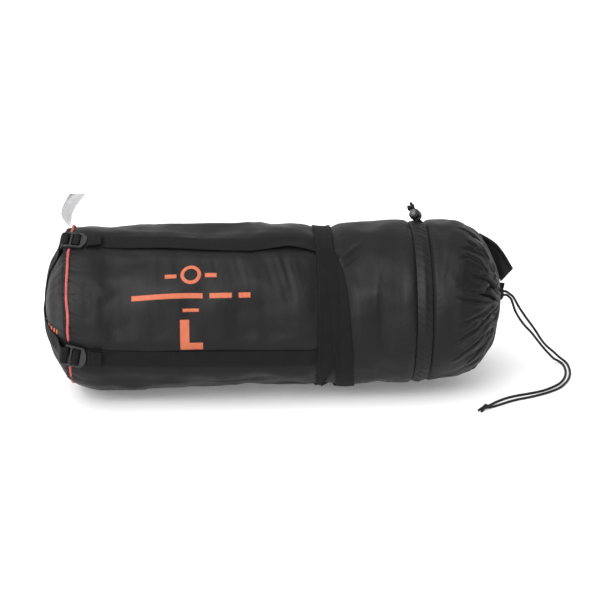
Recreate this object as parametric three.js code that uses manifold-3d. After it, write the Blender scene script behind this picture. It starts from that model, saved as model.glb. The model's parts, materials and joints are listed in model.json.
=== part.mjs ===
// Compression sack for camping gear, packed, closed and lying on its side.
// Millimetres. +X runs along the sack from the base to the drawcord mouth, +Z is up, and the sack rests
// on z = 0. The origin is on the flat underside of the front panel.
import * as THREE from "three";
import { mergeVertices } from "three/addons/utils/BufferGeometryUtils.js";
import Module from "manifold-3d";

// ---- driving dimensions ----
const FABRIC = 1.5; // walls of the coated cloth, with its seam allowance
const GAP = 0.3; // clearance between neighbouring pieces
const FILL_INSET = 4; // the packed load starts this far inside the skin
const WEBBING_WIDTH = 25;
const WEBBING_THICK = 1.5;
const TAIL_THICK = 1.2;
const SKIN_STEPS = 40; // facets round the skin
const BAND_STEPS = 80;
// The four compression straps, about a quarter turn apart: angle up from the -Y side, and where the ladder
// lock's hinge bar and thumb tab stand, as a radius and as a lift off the skin.
const STRAPS = [
  { angle: 70, hinge: 117, tab: 5.2 },
  { angle: -15, hinge: 119, tab: 5.4 },
  { angle: -110, hinge: 120, tab: 6.1 },
  { angle: 165, hinge: 119, tab: 5.4 },
];
const PRESSED = { angle: -110, depth: 6.5, fromX: -205, fullX: -235 }; // where the sack lies on lock 3
const GIRTH = { from: 53.4, to: 78.4, lift: 2.4 };
const SEAM_X = 66; // front and rear panels are joined under the girth webbing
const CHANNEL = { from: 188.8, to: 211.2 };
const PIPING = { x: -289, radius: 111, section: 1.5 };
const HINGE_X = -288; // the fixed bar of each ladder lock
const TAB_X = -259.5;
const LOCK_THICK = 3;
const LOCK_WIDTH = 33;
const CORD_RADIUS = 1.8; // mouth drawcord
const CHANNEL_CORD_RADIUS = 1.5;
const CORD_LOCK_CENTRE = new THREE.Vector3(198.5, 17, 246.5);
const CORD_LOCK_AXIS = new THREE.Vector3(-0.55, -0.62, 0.56).normalize(); // the plunger points this way
const CORD_LOCK_BORE = 6;
const PLUNGER_RADIUS = 5.7;

// The stuffed skin, base to mouth: station, radius, height of the centre line, height that the
// underside is held at, and how far the wall's outward direction leans from radial towards +X.
const OUTLINE = [
  { x: -321.6, radius: 0, centre: 121.5, bed: 0, lean: -90 },
  { x: -321.4, radius: 20, centre: 121.5, bed: 0, lean: -85 },
  { x: -320, radius: 38, centre: 121.5, bed: 0, lean: -78 },
  { x: -311, radius: 71.7, centre: 121.5, bed: 0, lean: -58 },
  { x: -302, radius: 88, centre: 121.5, bed: 0, lean: -50 },
  { x: -294, radius: 101.5, centre: 121.5, bed: 0, lean: -42 },
  { x: -289.5, radius: 108.2, centre: 121.5, bed: 0, lean: -30 },
  { x: -287.6, radius: 109, centre: 121.5, bed: 0, lean: 0 },
  { x: -270, radius: 114.5, centre: 116.6, bed: 0, lean: 0 },
  { x: -250, radius: 115.5, centre: 114.2, bed: 0, lean: 0 },
  { x: -236, radius: 115.2, centre: 113.7, bed: 0, lean: 0 },
  { x: -209, radius: 114.6, centre: 112.8, bed: 0, lean: 0 },
  { x: -140, radius: 117.6, centre: 115.7, bed: 0, lean: 0 },
  { x: 20, radius: 116.8, centre: 115.1, bed: 0, lean: 0 },
  { x: 46, radius: 115.8, centre: 114.4, bed: 0, lean: 0 },
  { x: 52.3, radius: 113.3, centre: 114.2, bed: 4.2, lean: 0 },
  { x: 79.5, radius: 113.3, centre: 114.2, bed: 4.2, lean: 0 },
  { x: 86, radius: 115.5, centre: 114.4, bed: 2.1, lean: 0 },
  { x: 112, radius: 117, centre: 115, bed: 2.1, lean: 0 },
  { x: 184, radius: 117.8, centre: 118.2, bed: 0, lean: 0 },
  { x: 188.2, radius: 109.8, centre: 120.2, bed: 0, lean: 0 },
  { x: 211.8, radius: 109.4, centre: 120.8, bed: 0, lean: 0 },
  { x: 216, radius: 116.8, centre: 120.8, bed: 0, lean: 0 },
  { x: 251, radius: 113.6, centre: 124.4, bed: 0, lean: 12 },
  { x: 268, radius: 107, centre: 126.6, bed: 0, lean: 28 },
  { x: 285, radius: 95, centre: 127.5, bed: 0, lean: 42 },
  { x: 297, radius: 82, centre: 127.5, bed: 0, lean: 50 },
  { x: 306.6, radius: 67.5, centre: 126, bed: 0, lean: 62 },
  { x: 314, radius: 45, centre: 129.5, bed: 0, lean: 72 },
  { x: 320, radius: 14, centre: 135.5, bed: 0, lean: 78 },
];
const BASE_CENTRE = 121.5; // height of the piping ring and of the base

// Routes of the two strands of the mouth drawcord, from the hem to the knot on the floor.
const STRAND_A = [
  [329.4, 0, 136], [334, 3, 132.5], [341, 7, 125.8], [351.6, 14, 108], [364, 22, 89.5], [373.4, 29, 76.5],
  [383, 37, 62.5], [391.5, 46, 49], [401.3, 55, 36], [418.5, 70, 18.5], [428, 77, 8.5], [435, 77, 3.2],
  [437.5, 65, 2], [436.8, 50, 2], [433.8, 28, 2], [427.5, 4.5, 2], [417.5, -18, 2], [403.4, -39, 2],
  [385, -55, 2], [368, -66, 2], [353, -74, 2], [338, -80.5, 2], [323, -89.5, 2], [309, -100, 2],
  [299, -107, 2], [291.5, -112.3, 2.6],
];
const STRAND_B = [
  [329.4, -4.6, 132.4], [333, -3.8, 129.5], [336.8, -2, 125], [340, 1, 117], [345, 6, 104.5], [353.8, 14, 89.5],
  [363, 21, 77], [374, 29, 64.5], [385.5, 39, 49], [397.3, 49, 33.5], [411, 62, 17], [419, 72, 8],
  [426, 76.5, 3.2], [430.3, 65, 2], [429.8, 43.4, 2], [426, 21.5, 2], [419.5, 1.5, 2], [409.4, -18, 2],
  [394, -35.5, 2], [376.5, -49, 2], [357, -58.5, 2], [338.5, -66, 2], [321, -76, 2], [306, -89, 2],
  [296.5, -99.5, 2], [289.5, -107.8, 2.6],
];
const MOUTH_KNOT = new THREE.Vector3(286.5, -113.5, 4.6);

const wasm = await Module();
wasm.setup();

// ---- colours ----
const cloth = (color) => new THREE.MeshStandardMaterial({ color, roughness: 0.62, metalness: 0 });
const plastic = (color, roughness) => new THREE.MeshStandardMaterial({ color, roughness, metalness: 0 });
const BLACK_CLOTH = 0x343538;
const CAP_CLOTH = 0x2b2c2f;
const WEBBING = 0x2a2a2c;
const CORD = 0x1d1d1f;

const sack = new THREE.Group();

function add(name, geometry, material) {
  const mesh = new THREE.Mesh(geometry, material);
  mesh.name = name;
  sack.add(mesh);
  return mesh;
}

// ---- places on the skin ----
const radians = THREE.MathUtils.degToRad;

// 0 outside an interval's start, 1 past its end, smooth between.
const fade = (value, from, to) => THREE.MathUtils.smoothstep((value - from) / (to - from), 0, 1);

// How far the skin is pushed in at this place.
function pressedIn(x, angle) {
  const turn = Math.abs(((angle - PRESSED.angle + 540) % 360) - 180);
  const alongSack = fade(x, PRESSED.fromX, PRESSED.fullX) * fade(x, -318, -300);
  return PRESSED.depth * (1 - fade(turn, 9, 24)) * alongSack;
}

function outlineAt(x) {
  const i = Math.max(1, OUTLINE.findIndex((row) => row.x >= x - 1e-9));
  const [a, b] = [OUTLINE[i - 1], OUTLINE[i]];
  const t = (x - a.x) / (b.x - a.x);
  const mix = (key) => THREE.MathUtils.lerp(a[key], b[key], t);
  return { x, radius: mix("radius"), centre: mix("centre"), bed: mix("bed"), lean: mix("lean") };
}

// A point at this distance from the centre line.
function placeAt(x, angle, distance, centre = outlineAt(x).centre) {
  const reach = distance - pressedIn(x, angle);
  return new THREE.Vector3(x, -reach * Math.cos(radians(angle)), centre + reach * Math.sin(radians(angle)));
}

// A point on the skin, or lifted off it. The underside is flat where the sack lies on it.
function skinPoint(x, angle, lift) {
  const row = outlineAt(x);
  const lean = radians(row.lean);
  const reach = Math.max(0, row.radius + lift * Math.cos(lean));
  const point = placeAt(x, angle, reach, row.centre);
  point.x += lift * Math.sin(lean);
  point.z = Math.max(point.z, row.bed - lift, 0);
  return point;
}

const outward = (angle) => new THREE.Vector3(0, -Math.cos(radians(angle)), Math.sin(radians(angle)));
const along = (angle) => new THREE.Vector3(0, Math.sin(radians(angle)), Math.cos(radians(angle)));

// The ends of a stretch and every outline station between them.
function stations(from, to) {
  const inner = OUTLINE.map((row) => row.x).filter((x) => x > from + 0.5 && x < to - 0.5);
  return [from, ...inner, to];
}

const turnSteps = (count) => Array.from({ length: count }, (_, i) => -90 + (i * 360) / count);

// ---- solids ----
// Joins equal rings of points into one closed solid. Each ring runs up one side and back down the other,
// so that its ends can be closed by strips. Corners that coincide are merged.
function loft(rings, looped = false) {
  const size = rings[0].length;
  const corners = [];
  const quad = (a, b, c, d) => corners.push(a, b, c, a, c, d);
  const last = looped ? rings.length : rings.length - 1;
  for (let i = 0; i < last; i += 1) {
    const here = rings[i];
    const next = rings[(i + 1) % rings.length];
    for (let k = 0; k < size; k += 1) {
      quad(here[k], here[(k + 1) % size], next[(k + 1) % size], next[k]);
    }
  }
  if (!looped) {
    const end = rings[rings.length - 1];
    for (let k = 0; k < size / 2 - 1; k += 1) {
      quad(rings[0][k], rings[0][size - 1 - k], rings[0][size - 2 - k], rings[0][k + 1]);
      quad(end[k], end[k + 1], end[size - 2 - k], end[size - 1 - k]);
    }
  }
  return weld(corners);
}

// Triangle corners to an indexed mesh that faces out, without empty triangles.
function weld(corners) {
  const soup = new THREE.BufferGeometry().setFromPoints(corners);
  const merged = mergeVertices(soup, 1e-4);
  const index = [];
  for (let i = 0; i < merged.index.count; i += 3) {
    const [a, b, c] = [0, 1, 2].map((k) => merged.index.getX(i + k));
    if (a !== b && b !== c && c !== a) {
      index.push(a, b, c);
    }
  }
  const position = merged.getAttribute("position");
  const corner = (i) => new THREE.Vector3().fromBufferAttribute(position, i);
  let volume = 0;
  for (let i = 0; i < index.length; i += 3) {
    volume += corner(index[i]).dot(corner(index[i + 1]).cross(corner(index[i + 2])));
  }
  if (volume < 0) {
    index.reverse();
  }
  merged.setIndex(index);
  return merged;
}

// A wall that runs right round the sack. The profile is a closed list of [x, lift].
function wrapped(profile, steps = SKIN_STEPS) {
  return loft(turnSteps(steps).map((angle) => profile.map(([x, lift]) => skinPoint(x, angle, lift))), true);
}

function clothTube(from, to) {
  const rows = stations(from, to);
  return wrapped([...rows.map((x) => [x, 0]), ...rows.toReversed().map((x) => [x, -FABRIC])]);
}

function packedFill(from, to) {
  const ring = (x) => turnSteps(SKIN_STEPS).map((angle) => skinPoint(x, angle, -FILL_INSET));
  return loft(stations(from, to).map(ring));
}

// Flat webbing along a path. Each stop is { at, across }.
function ribbon(stops, width, thick) {
  const rings = stops.map(({ at, across }, i) => {
    const before = stops[Math.max(0, i - 1)].at;
    const after = stops[Math.min(stops.length - 1, i + 1)].at;
    const normal = after.clone().sub(before).cross(across).normalize();
    const corner = (side, up) =>
      at.clone().addScaledVector(across, (side * width) / 2).addScaledVector(normal, (up * thick) / 2);
    return [corner(-1, 1), corner(1, 1), corner(1, -1), corner(-1, -1)];
  });
  return loft(rings);
}

// Webbing that hugs the skin: each ring spans the width, out along one face and back along the other.
function huggingRing(points, inner, outer) {
  return [
    ...points.map(([x, angle]) => skinPoint(x, angle, outer)),
    ...points.toReversed().map(([x, angle]) => skinPoint(x, angle, inner)),
  ];
}

function roundCord(points, radius, steps) {
  const curve = new THREE.CatmullRomCurve3(points.map((p) => new THREE.Vector3(...p)), false, "centripetal");
  const section = new THREE.Shape(
    Array.from({ length: 8 }, (_, i) => {
      const turn = ((i + 0.5) * Math.PI) / 4;
      return new THREE.Vector2(radius * Math.cos(turn), radius * Math.sin(turn));
    }),
  );
  return new THREE.ExtrudeGeometry(section, { steps, extrudePath: curve, bevelEnabled: false });
}

// A closed round bar bent into a ring that follows the given function of turn.
function closedLoop(place, steps, radius, sides) {
  const turns = turnSteps(steps);
  const centres = turns.map(place);
  const rings = centres.map((at, i) => {
    const ahead = centres[(i + 1) % steps];
    const behind = centres[(i + steps - 1) % steps];
    const sideways = new THREE.Vector3(1, 0, 0);
    const normal = ahead.clone().sub(behind).normalize().cross(sideways).normalize();
    return Array.from({ length: sides }, (_, k) => {
      const turn = (k * 2 * Math.PI) / sides;
      return at
        .clone()
        .addScaledVector(sideways, radius * Math.cos(turn))
        .addScaledVector(normal, radius * Math.sin(turn));
    });
  });
  return loft(rings, true);
}

function toManifold(geometry) {
  const bare = geometry.clone();
  bare.deleteAttribute("normal");
  bare.deleteAttribute("uv");
  const merged = mergeVertices(bare, 1e-4);
  const vertProperties = new Float32Array(merged.getAttribute("position").array);
  const triVerts = new Uint32Array(merged.index.array);
  return new wasm.Manifold(new wasm.Mesh({ numProp: 3, vertProperties, triVerts }));
}

function fromManifold(solid) {
  const mesh = solid.getMesh();
  const geometry = new THREE.BufferGeometry();
  geometry.setAttribute("position", new THREE.BufferAttribute(new Float32Array(mesh.vertProperties), 3));
  geometry.setIndex(new THREE.BufferAttribute(new Uint32Array(mesh.triVerts), 1));
  return geometry;
}

// ---- the packed load ----
const load = cloth(0x6d7178);
add("fill_front", packedFill(-319, SEAM_X - GAP / 2), load);
add("fill_rear", packedFill(SEAM_X + GAP / 2, 314), load);

// ---- cloth panels ----
add("front_panel", clothTube(-287.6, SEAM_X - GAP / 2), cloth(BLACK_CLOTH));
add("rear_panel", clothTube(SEAM_X + GAP / 2, 199.8), cloth(BLACK_CLOTH));
add("collar", clothTube(200.1, 320), cloth(BLACK_CLOTH));
add("end_cap", clothTube(-321.6, -289.5), cloth(CAP_CLOTH));
add(
  "piping",
  closedLoop((angle) => placeAt(PIPING.x, angle, PIPING.radius, BASE_CENTRE), 40, PIPING.section, 6),
  cloth(0xd9605c),
);

// ---- drawcord channel: a tunnel round the sack, open on the inside, with its cord in it ----
const TUNNEL_HEIGHT = 4.6;
add(
  "channel_band",
  wrapped([
    [CHANNEL.from, GAP],
    [CHANNEL.from, TUNNEL_HEIGHT + 1],
    [CHANNEL.to, TUNNEL_HEIGHT + 1],
    [CHANNEL.to, GAP],
    [CHANNEL.to - 1.2, GAP],
    [CHANNEL.to - 1.2, TUNNEL_HEIGHT],
    [CHANNEL.from + 1.2, TUNNEL_HEIGHT],
    [CHANNEL.from + 1.2, GAP],
  ]),
  cloth(0x2f3033),
);
add(
  "channel_cord_loop",
  closedLoop((angle) => skinPoint(200, angle, 2.4), SKIN_STEPS, CHANNEL_CORD_RADIUS, 6),
  cloth(CORD),
);

// ---- girth webbing and the carry handle ----
const bandInner = GIRTH.lift;
const bandOuter = GIRTH.lift + WEBBING_THICK;
add(
  "girth_band",
  wrapped(
    [[GIRTH.from, bandInner], [GIRTH.from, bandOuter], [GIRTH.to, bandOuter], [GIRTH.to, bandInner]],
    BAND_STEPS,
  ),
  cloth(WEBBING),
);

// The handle leaves the girth band at strap 1, lies down the front of the sack beside the band, passes
// under the sack and comes back to the band at strap 3. Stops: angle, left edge, right edge.
const HANDLE_STOPS = [
  [61, 75, 77.5], [56, 69.5, 82], [47, 68, 88], [38, 68, 91.5], [29, 68.7, 93.7], [14, 71.5, 96.5],
  [-1, 74.3, 99.3], [-17, 77, 102], [-33, 79.5, 104.5], [-48, 81.9, 106.9], [-62, 84, 109],
  [-76, 84.5, 109.5], [-90, 82.5, 107.5], [-106, 79.2, 98], [-111.5, 77, 88],
];
const HANDLE_STEP = 4.5;
const HANDLE_RADIUS = 118;
function handlePoint(x, angle, radius) {
  const point = placeAt(x, angle, radius);
  point.z = Math.max(point.z, GAP + HANDLE_RADIUS + WEBBING_THICK - radius);
  return point;
}
function handleEdges(angle) {
  const i = Math.max(1, HANDLE_STOPS.findIndex((stop) => stop[0] <= angle));
  const [a, b] = [HANDLE_STOPS[i - 1], HANDLE_STOPS[i]];
  const t = (angle - a[0]) / (b[0] - a[0]);
  return [THREE.MathUtils.lerp(a[1], b[1], t), THREE.MathUtils.lerp(a[2], b[2], t)];
}
const handleRings = [];
for (let angle = HANDLE_STOPS[0][0]; angle > HANDLE_STOPS.at(-1)[0]; angle -= HANDLE_STEP) {
  const [left, right] = handleEdges(angle);
  const top = HANDLE_RADIUS + WEBBING_THICK;
  const corners = [[left, HANDLE_RADIUS], [right, HANDLE_RADIUS], [right, top], [left, top]];
  handleRings.push(corners.map(([x, radius]) => handlePoint(x, angle, radius)));
}
add("carry_handle", loft(handleRings), cloth(WEBBING));

// ---- compression straps: each runs from under the girth band to a ladder lock at the base ----
// Along the lock's plate from its hinge bar: three slots, four bars and the thumb tab.
const SLOTS = [[1.5, 5.9], [8.7, 13.1], [15.9, 20.3]];
const SLOT_WIDTH = 26.6;
const PLATE_END = 25;
const TAB_REACH = 29.5;

// The frame of one ladder lock: its origin is on the hinge bar, u runs to the tab, v along the bar,
// w away from the sack.
function lockFrame({ angle, hinge, tab: lift }) {
  const origin = placeAt(HINGE_X, angle, hinge, BASE_CENTRE);
  const tab = skinPoint(TAB_X, angle, lift);
  const u = tab.sub(origin).normalize();
  const v = outward(angle).cross(u).normalize();
  const w = u.clone().cross(v);
  return { origin, u, v, w };
}

function lockPoint(frame, [u, w]) {
  return frame.origin.clone().addScaledVector(frame.u, u).addScaledVector(frame.w, w);
}

function lockPlate() {
  const half = LOCK_WIDTH / 2;
  const outline = new THREE.Shape();
  outline.moveTo(-1.5, -half + 3);
  outline.quadraticCurveTo(-1.5, -half, 1.5, -half);
  outline.lineTo(PLATE_END - 3, -half + 0.6);
  outline.quadraticCurveTo(PLATE_END, -half + 0.6, PLATE_END, -half + 4);
  outline.bezierCurveTo(TAB_REACH + 1, -half + 7, TAB_REACH + 1, half - 7, PLATE_END, half - 4);
  outline.quadraticCurveTo(PLATE_END, half - 0.6, PLATE_END - 3, half - 0.6);
  outline.lineTo(1.5, half);
  outline.quadraticCurveTo(-1.5, half, -1.5, half - 3);
  const plate = new THREE.ExtrudeGeometry(outline, { depth: LOCK_THICK, bevelEnabled: false, curveSegments: 5 });
  const cut = SLOTS.reduce((solid, [from, to]) => {
    const slot = new THREE.BoxGeometry(to - from, SLOT_WIDTH, 4 * LOCK_THICK).translate((from + to) / 2, 0, 0);
    return solid.subtract(toManifold(slot));
  }, toManifold(plate));
  return fromManifold(cut).translate(0, 0, -LOCK_THICK / 2);
}

// The free end of a strap threads up through the middle slot, over a bar, down through the last slot
// and out under the tab. Stops on the plate are [u, w], then the tail lies on its own strap.
const THREADED = [
  [10.9, -2.2], [10.9, 1.2], [11.6, 2.3], [12.6, 2.6], [16.4, 2.6], [17.4, 2.3], [18.1, 1.2], [18.1, -1],
  [18.8, -2.1], [20.2, -2.5], [27.5, -2.5],
];
const TAIL_REST = [-254, -247, -239];

function strapTail(frame, angle) {
  const across = along(angle);
  const onPlate = THREADED.map((stop) => ({ at: lockPoint(frame, stop), across: frame.v }));
  const onStrap = TAIL_REST.map((x, i) => ({
    at: skinPoint(x, angle, WEBBING_THICK + 2 * GAP + TAIL_THICK / 2),
    across: frame.v.clone().lerp(across, (i + 1) / TAIL_REST.length).normalize(),
  }));
  return ribbon([...onPlate, ...onStrap], WEBBING_WIDTH, TAIL_THICK);
}

function strapRun(angle) {
  const half = THREE.MathUtils.radToDeg(Math.asin(WEBBING_WIDTH / 2 / 118));
  const rows = stations(-275, SEAM_X - 1);
  const spread = [-1, -1 / 3, 1 / 3, 1];
  return loft(
    rows.map((x) => huggingRing(spread.map((share) => [x, angle + share * half]), GAP, GAP + WEBBING_THICK)),
  );
}

STRAPS.forEach((strap, i) => {
  const { angle } = strap;
  const frame = lockFrame(strap);
  const plate = add(`ladder_lock_${i + 1}`, lockPlate(), plastic(0x4a4b4e, 0.42));
  plate.applyMatrix4(new THREE.Matrix4().makeBasis(frame.u, frame.v, frame.w).setPosition(frame.origin));
  add(`strap_${i + 1}_tail`, strapTail(frame, angle), cloth(WEBBING));
  add(`strap_${i + 1}`, strapRun(angle), cloth(WEBBING));
});

// ---- webbing over the base, looped round the hinge bars of two opposite ladder locks ----
const LOOP_RADIUS = 3.3; // middle of the webbing round the bar
const LOOP_TURNS = [-140, -100, -60, -20, 20, 60, 100];

function webHalf(strap, crossing) {
  const { angle, hinge } = strap;
  const frame = lockFrame(strap);
  const across = along(angle);
  const loop = LOOP_TURNS.map((turn) => ({
    at: lockPoint(frame, [LOOP_RADIUS * Math.cos(radians(turn)), LOOP_RADIUS * Math.sin(radians(turn))]),
    across: frame.v,
  }));
  const overPiping = [[-292.6, hinge + 2, 0.3], [-295.3, hinge - 3.5, 0.6]].map(([x, radius, share]) => ({
    at: placeAt(x, angle, radius, BASE_CENTRE),
    across: frame.v.clone().lerp(across, share).normalize(),
  }));
  const lift = GAP + WEBBING_THICK / 2;
  const onDome = [
    [-295, 4.2], [-302, lift + 0.6], [-311, lift], [-320, lift + 0.4 * crossing], [-321.4, lift + GAP + crossing],
  ];
  return [...loop, ...overPiping, ...onDome.map(([x, off]) => ({ at: skinPoint(x, angle, off), across }))];
}

function crossingWeb(nearStrap, farStrap, crossing) {
  const near = webHalf(nearStrap, crossing);
  const far = webHalf(farStrap, crossing).map(({ at, across }) => ({ at, across: across.clone().negate() }));
  return ribbon([...near, ...far.toReversed()], WEBBING_WIDTH, WEBBING_THICK);
}
add("base_web_1_3", crossingWeb(STRAPS[0], STRAPS[2], 0), cloth(WEBBING));
add("base_web_2_4", crossingWeb(STRAPS[1], STRAPS[3], WEBBING_THICK + GAP), cloth(WEBBING));

// ---- care label, sewn into the piping seam and twisting as it rises ----
const LABEL = { angle: 103, width: 20, thick: 0.8, root: 113.2 };
const LABEL_STOPS = [ // height above the root, shift in x, turn from the seam's direction
  [0, 0, 0], [8, -3, 14], [16, -4.5, 28], [25, -1.5, 42], [34, 3.5, 56], [42, 9, 66],
];
add(
  "care_label",
  ribbon(
    LABEL_STOPS.map(([height, shift, turn]) => ({
      at: placeAt(PIPING.x + shift, LABEL.angle, LABEL.root + height, BASE_CENTRE),
      across: along(LABEL.angle).applyAxisAngle(outward(LABEL.angle), radians(turn)),
    })),
    LABEL.width,
    LABEL.thick,
  ),
  cloth(0xe9e9ea),
);

// ---- gathered mouth ----
// The rolled hem is a tunnel for the drawcord, open towards the collar.
const HEM = { x: 325, radius: 8.8, wall: 3.9, bore: 2.4, centre: 136, steps: 20, mouth: 24 };
const hemTurns = Array.from({ length: 9 }, (_, i) => 180 + HEM.mouth + (i * (360 - 2 * HEM.mouth)) / 8);
function hemRing(angle) {
  const point = (turn, size) => {
    const radius = HEM.radius + size * Math.sin(radians(turn));
    return new THREE.Vector3(
      HEM.x + size * Math.cos(radians(turn)),
      -radius * Math.cos(radians(angle)),
      HEM.centre + radius * Math.sin(radians(angle)),
    );
  };
  return [
    ...hemTurns.map((turn) => point(turn, HEM.wall)),
    ...hemTurns.toReversed().map((turn) => point(turn, HEM.bore)),
  ];
}
add("mouth_hem", loft(turnSteps(HEM.steps).map(hemRing), true), cloth(0x2c2d30));
add(
  "mouth_cord_loop",
  closedLoop((angle) => placeAt(HEM.x, angle, HEM.radius, HEM.centre), HEM.steps, CORD_RADIUS, 6),
  cloth(CORD),
);

// The storm flap is a stiff double layer of cloth that stands up behind the gathers.
// Stops run along its foot and its free edge: [x, y, z of the foot], [x, y, z of the free edge].
const FLAP_STOPS = [
  [[296, 39, 205], [294.5, 39, 212]],
  [[303.5, 39, 194], [307.5, 37, 205]],
  [[310, 37, 180], [319.5, 34, 196.5]],
  [[316, 33, 166], [329, 30.5, 185]],
  [[321, 28, 153], [337, 27, 172]],
  [[325.5, 23, 144], [342.5, 24, 162.5]],
];
const FLAP_THICK = 1.4;
const flapRings = FLAP_STOPS.map(([foot, edge]) => {
  const [low, high] = [new THREE.Vector3(...foot), new THREE.Vector3(...edge)];
  const depth = new THREE.Vector3(0.25, 0.95, 0.18).setLength(FLAP_THICK);
  return [low, high, high.clone().add(depth), low.clone().add(depth)];
});
add("storm_flap", loft(flapRings), cloth(0x26272a));

// ---- mouth drawcord ----
add("mouth_cord_a", roundCord(STRAND_A, CORD_RADIUS, 44), cloth(CORD));
add("mouth_cord_b", roundCord(STRAND_B, CORD_RADIUS, 42), cloth(CORD));
const knotShape = new THREE.SphereGeometry(1, 12, 8).scale(5.4, 3.6, 3.9);
add("mouth_cord_knot", knotShape, cloth(CORD)).position.copy(MOUTH_KNOT);
sack.getObjectByName("mouth_cord_knot").rotation.z = radians(48);

// ---- cord lock on the channel cord ----
const TRAVEL = 3;
const CORD_DIRECTION = new THREE.Vector3(-0.3, 0.772, 0.56);
CORD_DIRECTION.addScaledVector(CORD_LOCK_AXIS, -CORD_DIRECTION.dot(CORD_LOCK_AXIS)).normalize();
const CORD_SIDE = CORD_LOCK_AXIS.clone().cross(CORD_DIRECTION);
const cordLockFrame = new THREE.Matrix4()
  .makeBasis(CORD_SIDE, CORD_LOCK_AXIS, CORD_DIRECTION.clone())
  .setPosition(CORD_LOCK_CENTRE);
// The lathes turn about their own Y, which is the plunger's axis. The cords cross along their Z.
const turned = (points, sides) =>
  new THREE.LatheGeometry(points.map((p) => new THREE.Vector2(...p)), sides);
const cordWindow = (low, high) => {
  const box = new THREE.BoxGeometry(7.6, high - low, 40).translate(0, (low + high) / 2, 0);
  return toManifold(box);
};
const barrel = turned(
  [[0, -9.6], [4.6, -9.6], [6.8, -8.4], [7.9, -5], [8, 0], [7.7, 3.6], [6.9, 5], [CORD_LOCK_BORE, 5],
    [CORD_LOCK_BORE, -8.4], [0, -8.4]],
  20,
);
const boredBarrel = fromManifold(toManifold(barrel).subtract(cordWindow(-2.2, 2)));
add("cord_lock_barrel", boredBarrel, plastic(0x1c1c1e, 0.35))
  .applyMatrix4(cordLockFrame);
const plunger = turned(
  [[0, -3.9], [PLUNGER_RADIUS, -3.9], [PLUNGER_RADIUS, 5.6], [5.2, 7.5], [3.2, 8.9], [0, 9.4]],
  20,
);
const boredPlunger = fromManifold(toManifold(plunger).subtract(cordWindow(-1.9, 2 + TRAVEL)));
add("cord_lock_plunger", boredPlunger, plastic(0x77777a, 0.3))
  .applyMatrix4(cordLockFrame);

class Coil extends THREE.Curve {
  getPoint(t, target = new THREE.Vector3()) {
    const turn = t * 2 * Math.PI * 3;
    return target.set(3.6 * Math.cos(turn), THREE.MathUtils.lerp(-7.8, -4.5, t), 3.6 * Math.sin(turn));
  }
}
const wire = new THREE.Shape(Array.from({ length: 5 }, (_, i) => {
  const turn = (i * 2 * Math.PI) / 5;
  return new THREE.Vector2(0.4 * Math.cos(turn), 0.4 * Math.sin(turn));
}));
const spring = new THREE.ExtrudeGeometry(wire, { steps: 36, extrudePath: new Coil(), bevelEnabled: false });
const springSteel = new THREE.MeshStandardMaterial({ color: 0x9a9c9f, roughness: 0.3, metalness: 0.9 });
add("cord_lock_spring", spring, springSteel)
  .applyMatrix4(cordLockFrame);

// Both ends of the channel cord leave the slit in the band, cross the lock side by side and are knotted.
const lockSpot = (side, up, through) =>
  new THREE.Vector3(side, up, through).applyMatrix4(cordLockFrame).toArray();
for (const [name, side, slitX] of [["channel_cord_a", -1.65, 207.2], ["channel_cord_b", 1.65, 203.6]]) {
  const slit = placeAt(slitX, 96.5, 117.4).toArray();
  const route = [slit, ...[-11, -7, 0, 8.9].map((through) => lockSpot(side, 0, through))];
  add(name, roundCord(route, CHANNEL_CORD_RADIUS, 12), cloth(CORD));
}
const channelKnot = new THREE.SphereGeometry(1, 12, 8).scale(4.9, 4.2, 3.6);
add("channel_cord_knot", channelKnot, cloth(CORD)).applyMatrix4(
  new THREE.Matrix4().multiplyMatrices(cordLockFrame, new THREE.Matrix4().makeTranslation(0, 0, 12.9)),
);
add(
  "channel_cord_tip",
  roundCord([lockSpot(-3.6, 2.6, 16.4), lockSpot(-5, 3.4, 18), lockSpot(-6.6, 4.2, 20)], 1.3, 5),
  cloth(CORD),
);

export default sack;
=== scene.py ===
"""Looks of a packed compression sack that lies on its side, made round its CAD frame.

Metres. +X runs to the drawcord mouth, +Z is up, and the carry handle is on the -Y side. An angle on the
sack is counted in degrees up from the -Y side, so 90 is the top and -90 is where the sack lies.
"""
import json
import math

import bpy
import numpy as np
from mathutils import Matrix, Vector


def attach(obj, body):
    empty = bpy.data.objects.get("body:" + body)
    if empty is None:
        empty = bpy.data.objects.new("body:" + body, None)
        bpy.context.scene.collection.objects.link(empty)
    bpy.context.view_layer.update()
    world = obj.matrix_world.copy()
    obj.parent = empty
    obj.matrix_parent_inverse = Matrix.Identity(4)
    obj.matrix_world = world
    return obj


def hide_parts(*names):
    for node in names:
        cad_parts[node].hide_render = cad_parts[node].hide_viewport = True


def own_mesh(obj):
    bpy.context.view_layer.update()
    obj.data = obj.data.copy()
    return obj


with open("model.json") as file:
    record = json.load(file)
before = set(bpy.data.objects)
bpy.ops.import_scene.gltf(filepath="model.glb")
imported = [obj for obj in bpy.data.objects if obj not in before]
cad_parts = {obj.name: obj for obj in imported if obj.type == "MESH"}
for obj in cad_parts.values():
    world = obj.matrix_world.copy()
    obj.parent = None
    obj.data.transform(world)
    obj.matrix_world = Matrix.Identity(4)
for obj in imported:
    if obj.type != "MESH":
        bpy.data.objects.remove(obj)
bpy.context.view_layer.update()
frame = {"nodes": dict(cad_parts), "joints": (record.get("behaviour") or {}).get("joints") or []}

MM = 0.001
TAU = 2 * math.pi

# ---------------------------------------------------------------- camera and the free cords

VIEW_TARGET = Vector((0.035, 0, 0.1276))
VIEW_DISTANCE = 2.3
VIEW_ELEVATION = math.radians(17)
VIEW_YAW = math.radians(2.8)
FIELD_WIDTH = 0.852  # width of the view at the target

CORD_DIAMETER = 3.6 * MM
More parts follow.
